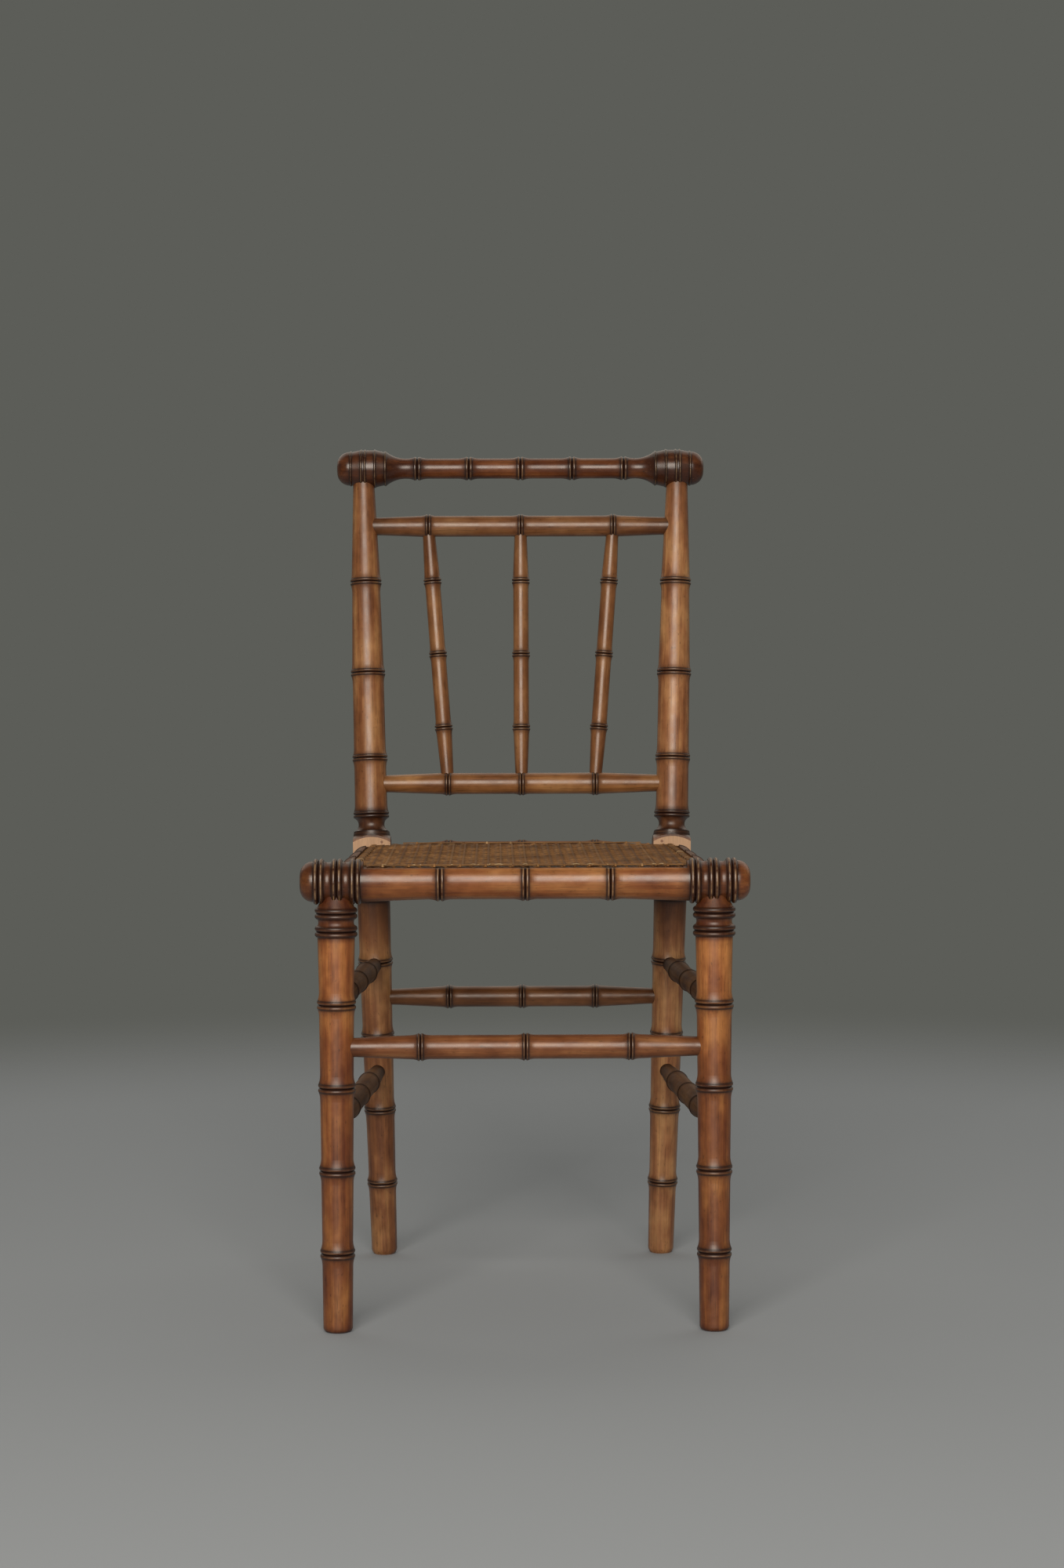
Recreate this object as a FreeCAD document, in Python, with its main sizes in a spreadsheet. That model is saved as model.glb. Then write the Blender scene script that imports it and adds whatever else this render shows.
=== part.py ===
"""Faux bamboo side chair: a turned beech frame and a hand-caned seat, every piece a solid of its own.

Millimetres, +Z up. The front of the chair faces -Y, X runs to the right of a viewer who stands in front
of it, and the origin is on the floor under the middle of the chair. Left and right are the viewer's.
"""
import FreeCAD
import Part
import Sketcher
import math
import os
from collections import namedtuple
from FreeCAD import Placement, Rotation, Vector

# Driving sizes, in millimetres, degrees and counts
SIZES = {
    # Heights: levels above the floor, rises above the seat, drops below the seat, the crest or the front rail
    "seat_level": 450,
    "front_rail_drop": 13,
    "seat_rail_drop": 10,
    "crest_rise": 408,
    "upper_back_rail_drop": 63,
    "lower_back_rail_rise": 66,
    "front_stretcher_level": 276.5,
    "rear_stretcher_level": 284.5,
    "upper_side_stretcher_level": 320.5,
    "lower_side_stretcher_level": 203.5,

    # Plan: insets are from the front rail's ends, spreads from the middle plane, splay and rakes in degrees
    "seat_frame_depth": 373,
    "front_leg_inset": 34.5,
    "side_rail_inset": 47,
    "block_spread": 161.5,
    "post_splay": 1.315,
    "back_rake": 7,
    "leg_rake": 5,

    # Round mortise and tenon joints
    "fit_clearance": 0.1,
    "glue_gap": 0.8,
    "tenon_web": 3,
    "tenon_length": 16,
    "tip_chamfer": 1,
    "shoulder_sink": 0.8,
    "bore_reach": 60,

    # Length of the flares that lead up to a bamboo node, on the stout pieces and on the thin ones
    "flare_length": 8,
    "fine_flare_length": 6,

    # Front leg: tapered, four nodes, a collar of two ring pairs, a neck and a tenon
    "leg_foot_radius": 14.3,
    "leg_top_radius": 17.5,
    "leg_foot_edge": 4.5,
    "leg_first_ring": 76.5,
    "leg_ring_gap": 71,
    "leg_bead_width": 4.2,
    "leg_bead_swell": 1.2,
    "leg_flare_rise": 1.4,
    "collar_low_drop": 48,
    "collar_high_drop": 30.5,
    "collar_radius": 18.1,
    "collar_bead_width": 5.7,
    "collar_bead_swell": 2.5,
    "collar_hollow": 0.9,
    "neck_radius": 14.4,
    "neck_drop": 17,
    "leg_tenon_radius": 8.5,
    "leg_tenon_reach": 6,

    # Front seat rail: three ring pairs and a blunt dome on each end, three nodes along the middle, flat on top
    "rail_half_length": 217,
    "rail_end_radius": 19.6,
    "rail_end_ring": 18,
    "rail_end_pitch": 17.7,
    "rail_end_bead_width": 5.3,
    "rail_end_bead_swell": 2.6,
    "rail_end_hollow": 0.9,
    "rail_dome_swell": 3.3,
    "rail_dome_flat": 8.5,
    "rail_body_radius": 17.4,
    "rail_ring_pitch": 82,
    "rail_bead_width": 3.8,
    "rail_bead_swell": 1.15,
    "rail_flare_rise": 1.3,
    "rail_flat_half": 156,

    # Rear post: a square block at the seat, a turned leg below it and a turned upright above it
    "block_width": 40,
    "block_rise": 25,
    "block_drop": 45,
    "block_shoulder_step": 1,
    "block_arch_drop": 5.5,
    "block_corner_drop": 11,
    "turning_sink": 8,
    "post_neck_radius": 18.3,
    "post_neck_hollow": 4.6,
    "post_base_ring_rise": 32.5,
    "post_low_ring_rise": 93.5,
    "post_middle_ring_rise": 185.5,
    "post_high_ring_drop": 124,
    "post_base_radius": 17.5,
    "post_low_radius": 17.2,
    "post_middle_radius": 16.9,
    "post_high_radius": 15.2,
    "post_top_radius": 11.5,
    "post_bead_width": 3.2,
    "post_bead_swell": 1.1,
    "post_flare_rise": 1.2,
    "post_tenon_radius": 7,
    "post_tenon_reach": 7,
    "rear_leg_collar_radius": 17.8,
    "rear_leg_collar_swell": 1.8,
    "rear_leg_collar_width": 4.5,
    "rear_leg_foot_radius": 13.9,
    "rear_leg_foot_edge": 8,
    "rear_leg_trim": 2,
    "rear_leg_first_ring": 80,
    "rear_leg_ring_gap": 71.1,
    "rear_leg_bead_width": 3.4,
    "rear_leg_bead_swell": 1.1,
    "rear_leg_flare_rise": 1.2,

    # Crest rail: five nodes along the middle and a beehive knob on each end
    "crest_overhang": 28.4,
    "crest_body_radius": 10.9,
    "crest_ring_gap": 12.6,
    "crest_bead_width": 4,
    "crest_bead_swell": 1.15,
    "crest_flare_rise": 1.3,
    "knob_radius": 20,
    "knob_rim_radius": 18,
    "knob_outer_radius": 18.2,
    "knob_length": 52.5,
    "knob_flare_length": 22,
    "knob_flare_hollow": 1.8,
    "knob_bead_width": 2.8,
    "knob_bead_swell": 0.9,
    "knob_outer_ring": 15,
    "knob_middle_ring": 28.3,
    "knob_middle_pitch": 4.2,
    "knob_inner_ring": 41.2,
    "knob_dome_swell": 4.5,
    "knob_dome_flat": 3,

    # Back rails and spindles
    "upper_rail_end_radius": 9.7,
    "upper_rail_radius": 11.3,
    "upper_rail_ring_pitch": 100.5,
    "lower_rail_end_radius": 9.3,
    "lower_rail_radius": 11.4,
    "lower_rail_ring_pitch": 79.5,
    "back_rail_bead_width": 2.9,
    "back_rail_bead_swell": 1.1,
    "back_rail_flare_rise": 1.1,
    "spindle_end_radius": 6.8,
    "spindle_radius": 8.3,
    "spindle_ring_pitch": 80,
    "spindle_bead_width": 2.9,
    "spindle_bead_swell": 0.95,
    "spindle_flare_rise": 0.9,
    "spindle_tenon_length": 9,
    "spindle_web": 3,

    # Stretchers
    "front_stretcher_end_radius": 9.3,
    "front_stretcher_radius": 11.7,
    "front_stretcher_ring_pitch": 101.5,
    "rear_stretcher_end_radius": 8.6,
    "rear_stretcher_radius": 11.2,
    "rear_stretcher_ring_pitch": 79,
    "stretcher_bead_width": 3.1,
    "stretcher_bead_swell": 1.1,
    "stretcher_flare_rise": 1.1,
    "side_stretcher_end_radius": 7.8,
    "side_stretcher_radius": 10.7,
    "side_stretcher_ring_pitch": 92,
    "side_stretcher_bead_width": 3.1,
    "side_stretcher_bead_swell": 0.7,
    "side_stretcher_flare_rise": 0.6,

    # Side and rear seat rails
    "side_rail_end_radius": 9.6,
    "side_rail_radius": 13.6,
    "side_rail_ring_pitch": 82,
    "side_rail_front_web": 10,
    "rear_rail_end_radius": 9.6,
    "rear_rail_radius": 13.6,
    "rear_rail_ring_pitch": 79,
    "rear_rail_web": 12,
    "seat_rail_bead_width": 3.4,
    "seat_rail_bead_swell": 1.1,
    "seat_rail_flare_rise": 1.2,

    # Caned seat: ledges on the rails, a row of holes along each rail, pegs, the woven panel and its binders
    "ledge_wall": 0.5,
    "cane_hole_radius": 2.25,
    "cane_hole_inset": 4.5,
    "front_hole_inset": 5,
    "cane_pitch": 12.5,
    "front_row_margin": 6,
    "rear_row_margin": 16.5,
    "side_row_start": 34,
    "side_row_margin": 20,
    "peg_length": 6,
    "peg_clearance": 0.15,
    "peg_taper": 0.2,
    "cane_thickness": 2,
    "cane_margin": 3.4,
    "cane_gap": 1,
    "cane_opening_pitch": 28,
    "cane_opening_share": 0.48,
    "binder_width": 6,
    "binder_thickness": 1.2,
    "binder_end_margin": 3,
}

UP = Vector(0, 0, 1)
SIDES = {"left": -1, "right": 1}

doc = FreeCAD.newDocument("side_chair")
sheet = doc.addObject("Spreadsheet::Sheet", "Sizes")
for row, (alias, number) in enumerate(SIZES.items(), start=1):
    sheet.set(f"A{row}", alias)
    sheet.set(f"B{row}", str(number))
    sheet.setAlias(f"B{row}", alias)
doc.recompute()


class Size:
    """A size worked out from the sheet: its value now, and the expression that keeps it bound to the cells."""

    def __init__(self, value, text):
        self.value = value
        self.text = text

    def __add__(self, other):
        other = as_size(other)
        return Size(self.value + other.value, f"({self.text} + {other.text})")

    def __sub__(self, other):
        other = as_size(other)
        return Size(self.value - other.value, f"({self.text} - {other.text})")

    def __mul__(self, other):
        other = as_size(other)
        return Size(self.value * other.value, f"{self.text} * {other.text}")

    def __truediv__(self, other):
        other = as_size(other)
        return Size(self.value / other.value, f"{self.text} / {bracket(other)}")

    def __neg__(self):
        return Size(-self.value, f"(0 - {self.text})")

    def root(self):
        return Size(math.sqrt(self.value), f"sqrt({self.text})")

    def tangent(self):
        return Size(math.tan(math.radians(self.value)), f"tan({self.text})")

    def rounded(self):
        return Size(round(self.value), f"round({self.text})")


def as_size(number):
    return number if isinstance(number, Size) else Size(number, str(number))


def bracket(size):
    return f"({size.text})"


class Dimensions:
    """The sheet's cells, each as a Size, by alias."""

    def __getattr__(self, alias):
        return Size(float(sheet.get(alias)), f"Sizes.{alias}")


dim = Dimensions()
ZERO = as_size(0)


# Sketches and turned bodies

def origin_feature(body, role):
    return next(item for item in body.Origin.OriginFeatures if item.Role == role)


def arc_through(start, end, swell):
    """The arc from start to end that swells to the right of its way, and which of its ends comes first."""
    chord = end - start
    outward = Vector(chord.y, -chord.x, 0) / chord.Length
    radius = chord.Length ** 2 / (8 * abs(swell)) + abs(swell) / 2
    centre = (start + end) / 2 + outward * (swell - math.copysign(radius, swell))
    first = math.atan2(start.y - centre.y, start.x - centre.x)
    last = math.atan2(end.y - centre.y, end.x - centre.x)
    forward = (last - first) % (2 * math.pi) < math.pi
    if not forward:
        first, last = last, first
    if last < first:
        last += 2 * math.pi
    circle = Part.Circle(centre, Vector(0, 0, 1), radius)
    return Part.ArcOfCircle(circle, first, last), 1 if forward else 2


def draw_outline(body, name, plane, corners, offset=None):
    """A closed sketch through corners (across, along, swell), every one bound to the sheet.

    Swell is how far the edge that leaves the corner bulges outwards, hollow where it is negative and straight
    where it is None.
    """
    sketch = body.newObject("Sketcher::SketchObject", name)
    sketch.AttachmentSupport = (origin_feature(body, plane), [""])
    sketch.MapMode = "FlatFace"
    if offset is not None:
        sketch.AttachmentOffset = offset
    points = [Vector(across.value, along.value, 0) for across, along, swell in corners]
    edges = []
    starts = []
    for place, (across, along, swell) in enumerate(corners):
        start = points[place]
        end = points[(place + 1) % len(points)]
        if swell is None:
            edges.append(Part.LineSegment(start, end))
            starts.append(1)
        else:
            arc, first = arc_through(start, end, swell.value)
            edges.append(arc)
            starts.append(first)
    sketch.addGeometry(edges, False)
    joins = []
    bound = []
    for place, (across, along, swell) in enumerate(corners):
        following = (place + 1) % len(corners)
        start = starts[place]
        joins.append(Sketcher.Constraint("Coincident", place, 3 - start, following, starts[following]))
        bound.append((Sketcher.Constraint("DistanceX", -1, 1, place, start, across.value), across))
        bound.append((Sketcher.Constraint("DistanceY", -1, 1, place, start, along.value), along))
        if swell is not None:
            next_across, next_along, next_swell = corners[following]
            radius = curve_radius(next_across - across, next_along - along, swell)
            bound.append((Sketcher.Constraint("Radius", place, radius.value), radius))
    sketch.addConstraint(joins + [constraint for constraint, size in bound])
    for index, (constraint, size) in enumerate(bound, start=len(joins)):
        sketch.setExpression(f"Constraints[{index}]", size.text)
    return sketch


def curve_radius(across, along, swell):
    """The radius of an arc over a chord of the given run and swell."""
    depth = swell if swell.value > 0 else -swell
    return (across * across + along * along) / (depth * 8) + depth / 2


def new_body(label, placement):
    body = doc.addObject("PartDesign::Body", label)
    body.Label = label
    body.Placement = placement
    return body


def turn(body, name, corners, offset=None, feature="PartDesign::Revolution"):
    """Turns an outline of (radius, place along the axis, swell) round its own axis, as wood or as a cut."""
    sketch = draw_outline(body, f"{name}_outline", "XZ_Plane", corners, offset)
    turning = body.newObject(feature, name)
    turning.Profile = sketch
    turning.ReferenceAxis = (sketch, ["V_Axis"])
    turning.Angle = 360
    return turning


def turn_both_ways(body, name, half):
    """Turns the half of a stick that lies beyond its middle, and mirrors it for the other half."""
    turning = turn(body, f"{name}_half", [(ZERO, ZERO, None)] + half)
    mirror = body.newObject("PartDesign::Mirrored", name)
    mirror.Originals = [turning]
    mirror.MirrorPlane = (origin_feature(body, "XY_Plane"), [""])
    body.Tip = mirror


Node = namedtuple("Node", "bead_width bead_swell flare_rise flare_length")


def ring_pair(radius, place, bead_width, bead_swell, after):
    """Two beads with a groove between them, and the swell of the edge that follows."""
    return [
        (radius, place - bead_width, bead_swell),
        (radius, place, bead_swell),
        (radius, place + bead_width, after),
    ]


def bamboo_node(radius, place, node):
    """A bamboo node: the stick flares up to a ridge, drops into a groove, and falls away from a second ridge.

    A hollow of a quarter of the rise lets the flare leave the stick without a kink.
    """
    ridge = radius + node.flare_rise
    flare_hollow = -node.flare_rise / 4
    return [
        (radius, place - node.bead_width - node.flare_length, flare_hollow),
        (ridge, place - node.bead_width, node.bead_swell),
        (radius, place, node.bead_swell),
        (ridge, place + node.bead_width, flare_hollow),
        (radius, place + node.bead_width + node.flare_length, None),
    ]


def bamboo_stick(half_length, end_radius, radius, pitch, node, tenon_length):
    """A stick with three nodes about its middle, whose thinner ends go into their sockets as they are."""
    chamfer = dim.tip_chamfer
    corners = [
        (ZERO, -half_length, None),
        (end_radius - chamfer, -half_length, None),
        (end_radius, chamfer - half_length, None),
        (end_radius, tenon_length - half_length, None),
    ]
    for place in (-pitch, ZERO, pitch):
        corners += bamboo_node(radius, place, node)
    corners += [
        (end_radius, half_length - tenon_length, None),
        (end_radius, half_length - chamfer, None),
        (end_radius - chamfer, half_length, None),
        (ZERO, half_length, None),
    ]
    return corners


def frame_along(middle, along, up):
    """A placement whose Z runs along a stick and whose Y lies as near to up as it can."""
    forward = Vector(along).normalize()
    across = up.cross(forward).normalize()
    return Placement(middle, Rotation(across, forward.cross(across), forward, "ZYX"))


def bore(body, name, radius, bottom, direction):
    """A round hole in a body from a point inside it outwards, wider than what goes in by the fit clearance."""
    hole = body.newObject("PartDesign::SubtractiveCylinder", name)
    hole.setExpression("Radius", (radius + dim.fit_clearance).text)
    hole.setExpression("Height", dim.bore_reach.text)
    hole.Placement = body.Placement.inverse() * Placement(bottom, Rotation(UP, direction))


def cut_box(body, name, corner, length, width, height):
    """Cuts away a box, given in the body's own frame."""
    box = body.newObject("PartDesign::SubtractiveBox", name)
    box.setExpression("Length", length.text)
    box.setExpression("Width", width.text)
    box.setExpression("Height", height.text)
    box.Placement = Placement(corner, Rotation())
    return box


# Places from the sheet: level above the floor, spread from the middle plane, setback behind the front rail

front_rail_level = dim.seat_level - dim.front_rail_drop
seat_rail_level = dim.seat_level - dim.seat_rail_drop
crest_level = dim.seat_level + dim.crest_rise
upper_back_rail_level = crest_level - dim.upper_back_rail_drop
lower_back_rail_level = dim.seat_level + dim.lower_back_rail_rise
block_top = seat_rail_level + dim.block_rise
block_bottom = seat_rail_level - dim.block_drop
front_leg_spread = dim.rail_half_length - dim.front_leg_inset
side_rail_spread = dim.rail_half_length - dim.side_rail_inset
splay = dim.post_splay.tangent()


def post_spread(level):
    return dim.block_spread + (level - seat_rail_level) * splay


def upright_setback(level):
    return dim.seat_frame_depth + (level - block_top) * dim.back_rake.tangent()


def rear_leg_setback(level):
    return dim.seat_frame_depth + (block_bottom - level) * dim.leg_rake.tangent()


def lean(rake):
    """How much longer a raked and splayed stick is than it is high."""
    slope = rake.tangent()
    return (slope * slope + splay * splay + 1).root()


knob_reach = dim.knob_radius + dim.knob_bead_swell
rail_reach = dim.rail_end_radius + dim.rail_end_bead_swell
crest_back = (upright_setback(crest_level) + knob_reach).value
foot_back = (rear_leg_setback(ZERO) + dim.rear_leg_foot_radius).value
FRONT_Y = (rail_reach.value - max(crest_back, foot_back)) / 2


def point(side, spread, setback, level):
    """A point of the chair from its spread, its setback behind the front rail's axis and its level."""
    return Vector(side * spread.value, FRONT_Y + setback.value, level.value)


def post_point(side, level):
    return point(side, post_spread(level), upright_setback(level), level)


def rear_leg_point(side, level):
    return point(side, post_spread(level), rear_leg_setback(level), level)


def front_leg_point(side, level):
    return point(side, front_leg_spread, ZERO, level)


# Front seat rail, along X

rail_node = Node(dim.rail_bead_width, dim.rail_bead_swell, dim.rail_flare_rise, dim.flare_length)


def front_rail_half():
    """From the middle to an end: the nodes along the body, three ring pairs close together, and the dome."""
    half = bamboo_node(dim.rail_body_radius, ZERO, rail_node)[2:]
    half += bamboo_node(dim.rail_body_radius, dim.rail_ring_pitch, rail_node)
    for count in (2, 1, 0):
        place = dim.rail_half_length - dim.rail_end_ring - dim.rail_end_pitch * count
        after = -dim.rail_end_hollow if count else dim.rail_dome_swell
        half += ring_pair(dim.rail_end_radius, place, dim.rail_end_bead_width, dim.rail_end_bead_swell, after)
    half += [(dim.rail_dome_flat, dim.rail_half_length, None),
             (ZERO, dim.rail_half_length, None)]
    return half


front_rail = new_body("front_seat_rail",
                      frame_along(Vector(0, FRONT_Y, front_rail_level.value), Vector(1, 0, 0), UP))
turn_both_ways(front_rail, "front_rail_turning", front_rail_half())

# Front legs, each with its neck and tenon in the rail's end

neck_shoulder = front_rail_level + dim.shoulder_sink - (
    dim.rail_end_radius * dim.rail_end_radius - dim.neck_radius * dim.neck_radius).root()
leg_tip = front_rail_level + dim.leg_tenon_reach
collar_low_level = front_rail_level - dim.collar_low_drop
collar_high_level = front_rail_level - dim.collar_high_drop
neck_level = front_rail_level - dim.neck_drop
leg_ring_pitch = (collar_low_level - dim.leg_ring_gap - dim.leg_first_ring) / 3
leg_node = Node(dim.leg_bead_width, dim.leg_bead_swell, dim.leg_flare_rise, dim.flare_length)


def front_leg_radius(level):
    return dim.leg_foot_radius + (dim.leg_top_radius - dim.leg_foot_radius) * level / collar_low_level


def front_leg_corners():
    """Up the leg from the floor: rounded foot, four nodes, the collar's two ring pairs, neck and tenon."""
    edge = dim.leg_foot_edge
    corners = [(ZERO, ZERO, None),
               (dim.leg_foot_radius - edge, ZERO, edge * (1 - math.sqrt(0.5))),
               (dim.leg_foot_radius, edge, None)]
    for count in range(4):
        level = dim.leg_first_ring + leg_ring_pitch * count
        corners += bamboo_node(front_leg_radius(level), level, leg_node)
    for level, after in ((collar_low_level, -dim.collar_hollow), (collar_high_level, None)):
        corners += ring_pair(dim.collar_radius, level, dim.collar_bead_width, dim.collar_bead_swell, after)
    corners += [(dim.neck_radius, neck_level, None),
                (dim.neck_radius, neck_shoulder, None),
                (dim.leg_tenon_radius, neck_shoulder, None),
                (dim.leg_tenon_radius, leg_tip - dim.tip_chamfer, None),
                (dim.leg_tenon_radius - dim.tip_chamfer, leg_tip, None),
                (ZERO, leg_tip, None)]
    return corners


front_legs = {}
for name, side in SIDES.items():
    leg = new_body(f"front_leg_{name}", Placement(front_leg_point(side, ZERO), Rotation()))
    turn(leg, f"front_leg_{name}_turning", front_leg_corners())
    bore(front_rail, f"leg_neck_socket_{name}", dim.neck_radius, front_leg_point(side, neck_shoulder), -UP)
    bore(front_rail, f"leg_tenon_socket_{name}", dim.leg_tenon_radius,
         front_leg_point(side, leg_tip + dim.glue_gap), -UP)
    front_legs[side] = leg

# Rear posts: the square block, the turned upright and the turned leg, in one stick

upright_lean = lean(dim.back_rake)
rear_leg_lean = lean(dim.leg_rake)
post_length = (crest_level - block_top) * upright_lean
post_shoulder = post_length + dim.shoulder_sink - (
    dim.knob_radius * dim.knob_radius - dim.post_top_radius * dim.post_top_radius).root()
post_tip = post_length + dim.post_tenon_reach
post_node = Node(dim.post_bead_width, dim.post_bead_swell, dim.post_flare_rise, dim.flare_length)
rear_leg_node = Node(dim.rear_leg_bead_width, dim.rear_leg_bead_swell, dim.rear_leg_flare_rise,
                     dim.flare_length)


def upright_corners():
    """Along the upright from the block's top: hollow neck, base ring, three nodes, and the crest's tenon."""
    base_level = dim.seat_level + dim.post_base_ring_rise
    corners = [(ZERO, -dim.turning_sink, None),
               (dim.post_neck_radius, -dim.turning_sink, None),
               (dim.post_neck_radius, ZERO, -dim.post_neck_hollow)]
    corners += bamboo_node(dim.post_base_radius, (base_level - block_top) * upright_lean, post_node)[1:]
    for level, radius in ((dim.seat_level + dim.post_low_ring_rise, dim.post_low_radius),
                          (dim.seat_level + dim.post_middle_ring_rise, dim.post_middle_radius),
                          (crest_level - dim.post_high_ring_drop, dim.post_high_radius)):
        corners += bamboo_node(radius, (level - block_top) * upright_lean, post_node)
    corners += [(dim.post_top_radius, post_shoulder, None),
                (dim.post_tenon_radius, post_shoulder, None),
                (dim.post_tenon_radius, post_tip - dim.tip_chamfer, None),
                (dim.post_tenon_radius - dim.tip_chamfer, post_tip, None),
                (ZERO, post_tip, None)]
    return corners


def rear_leg_corners():
    """Down the leg from the block's bottom: a collar bead, four nodes and a foot that the floor plane trims."""
    length = block_bottom * rear_leg_lean + dim.rear_leg_trim
    collar_radius = dim.rear_leg_collar_radius
    pitch = (block_bottom - dim.rear_leg_ring_gap - dim.rear_leg_first_ring) / 3
    corners = [(ZERO, -dim.turning_sink, None),
               (collar_radius, -dim.turning_sink, None),
               (collar_radius, ZERO, dim.rear_leg_collar_swell),
               (collar_radius, dim.rear_leg_collar_width, None)]
    for count in range(3, -1, -1):
        level = dim.rear_leg_first_ring + pitch * count
        radius = dim.rear_leg_foot_radius + (collar_radius - dim.rear_leg_foot_radius) * level / block_bottom
        corners += bamboo_node(radius, (block_bottom - level) * rear_leg_lean, rear_leg_node)
    edge = dim.rear_leg_foot_edge
    corners += [(dim.rear_leg_foot_radius, length - edge, edge * (1 - math.sqrt(0.5))),
                (dim.rear_leg_foot_radius - edge, length, None),
                (ZERO, length, None)]
    return corners


def shoulder_corners():
    """What turning takes off the block's corners, outside a shoulder that slopes down from its end.

    The cut runs on past the end, because the stick leans and the block's end doesn't.
    """
    inner = dim.block_width / 2 - dim.block_shoulder_step
    outer = dim.block_width * as_size(0.5).root() + dim.tip_chamfer
    return [(inner, dim.turning_sink, None),
            (inner, ZERO, None),
            (dim.block_width / 2, -dim.block_arch_drop, None),
            (outer, -dim.block_corner_drop, None),
            (outer, dim.turning_sink, None)]


def tilt(start, direction):
    """The sketch placement that stands an outline's axis along a direction from a start in its body's frame."""
    base = Vector(start.x, start.z, -start.y)
    lean_to = Vector(direction.x, direction.z, -direction.y)
    return Placement(base, Rotation(Vector(0, 1, 0), lean_to))


rear_posts = {}
for name, side in SIDES.items():
    seat_point = point(side, dim.block_spread, dim.seat_frame_depth, seat_rail_level)
    post = new_body(f"rear_post_{name}", Placement(seat_point, Rotation()))
    half = dim.block_width / 2
    square = draw_outline(post, f"block_{name}_outline", "XY_Plane",
                          [(-half, -half, None), (half, -half, None), (half, half, None), (-half, half, None)])
    square.setExpression("AttachmentOffset.Base.z", (-dim.block_drop).text)
    block = post.newObject("PartDesign::Pad", f"block_{name}")
    block.Profile = square
    block.setExpression("Length", (dim.block_rise + dim.block_drop).text)

    upright_base = post_point(side, block_top)
    upright = post_point(side, crest_level) - upright_base
    upright_offset = tilt(upright_base - seat_point, upright)
    leg_base = rear_leg_point(side, block_bottom)
    leg = rear_leg_point(side, ZERO) - leg_base
    leg_offset = tilt(leg_base - seat_point, leg)
    for end, offset in (("top", upright_offset), ("bottom", leg_offset)):
        turn(post, f"block_shoulder_{end}_{name}", shoulder_corners(), offset, "PartDesign::Groove")
    turn(post, f"upright_{name}", upright_corners(), upright_offset)
    turn(post, f"rear_leg_{name}", rear_leg_corners(), leg_offset)
    trim = dim.block_width
    cut_box(post, f"foot_trim_{name}",
            rear_leg_point(side, ZERO) - seat_point - Vector(trim.value / 2, trim.value / 2, trim.value),
            trim, trim, trim)
    rear_posts[side] = post

# Crest rail, along X, on the posts' tenons


crest_half_length = post_spread(crest_level) + dim.crest_overhang
knob_start = crest_half_length - dim.knob_length
flare_start = knob_start - dim.knob_flare_length
crest_ring_pitch = (flare_start - dim.crest_ring_gap) / 2
crest_node = Node(dim.crest_bead_width, dim.crest_bead_swell, dim.crest_flare_rise, dim.flare_length)


def crest_half():
    """From the middle to an end: the nodes along the body, a flare, and the ringed, domed knob."""
    half = bamboo_node(dim.crest_body_radius, ZERO, crest_node)[2:]
    half += bamboo_node(dim.crest_body_radius, crest_ring_pitch, crest_node)
    half += bamboo_node(dim.crest_body_radius, crest_ring_pitch * 2, crest_node)
    half.append((dim.crest_body_radius, flare_start, -dim.knob_flare_hollow))
    middle_outer = dim.knob_middle_ring - dim.knob_middle_pitch / 2
    middle_inner = dim.knob_middle_ring + dim.knob_middle_pitch / 2
    knob_rings = ((dim.knob_length, dim.knob_rim_radius), (dim.knob_inner_ring, dim.knob_radius),
                  (middle_inner, dim.knob_radius), (middle_outer, dim.knob_radius),
                  (dim.knob_outer_ring, dim.knob_outer_radius))
    for from_end, ring_radius in knob_rings:
        middle = crest_half_length - from_end
        half.append((ring_radius, middle - dim.knob_bead_width / 2, dim.knob_bead_swell))
        half.append((ring_radius, middle + dim.knob_bead_width / 2, None))
    radius, place, straight = half.pop()
    half += [(radius, place, dim.knob_dome_swell),
             (dim.knob_dome_flat, crest_half_length, None),
             (ZERO, crest_half_length, None)]
    return half


crest_middle = Vector(0, post_point(1, crest_level).y, crest_level.value)
crest = new_body("crest_rail", frame_along(crest_middle, Vector(1, 0, 0), UP))
turn_both_ways(crest, "crest_turning", crest_half())
for name, side in SIDES.items():
    base = post_point(side, block_top)
    direction = (post_point(side, crest_level) - base).normalize()
    bore(crest, f"post_seat_{name}", dim.post_top_radius, base + direction * post_shoulder.value, -direction)
    bore(crest, f"post_socket_{name}", dim.post_tenon_radius,
         base + direction * (post_tip + dim.glue_gap).value, -direction)


# Sticks between two pieces of the frame

def add_stick(label, half_length, middle, along, up, end_radius, radius, pitch, node, tenon_length):
    """A three-node stick between two hosts."""
    stick = new_body(label, frame_along(middle, along, up))
    turn(stick, f"{label}_turning",
         bamboo_stick(half_length, end_radius, radius, pitch, node, tenon_length))
    return stick


def socket(host, label, end_radius, host_point, inwards, web):
    """The hole for a stick's end, bored towards the host's axis and stopped past the tip by the glue gap."""
    bottom = host_point + inwards * (web - dim.glue_gap).value
    bore(host, label, end_radius, bottom, inwards)


back_rail_node = Node(dim.back_rail_bead_width, dim.back_rail_bead_swell, dim.back_rail_flare_rise,
                      dim.fine_flare_length)
stretcher_node = Node(dim.stretcher_bead_width, dim.stretcher_bead_swell, dim.stretcher_flare_rise,
                      dim.fine_flare_length)
side_stretcher_node = Node(dim.side_stretcher_bead_width, dim.side_stretcher_bead_swell,
                           dim.side_stretcher_flare_rise, dim.fine_flare_length)
seat_rail_node = Node(dim.seat_rail_bead_width, dim.seat_rail_bead_swell, dim.seat_rail_flare_rise,
                      dim.flare_length)
spindle_node = Node(dim.spindle_bead_width, dim.spindle_bead_swell, dim.spindle_flare_rise,
                    dim.fine_flare_length)

# Sticks from side to side: back rails, front and rear stretcher, rear seat rail

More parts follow.
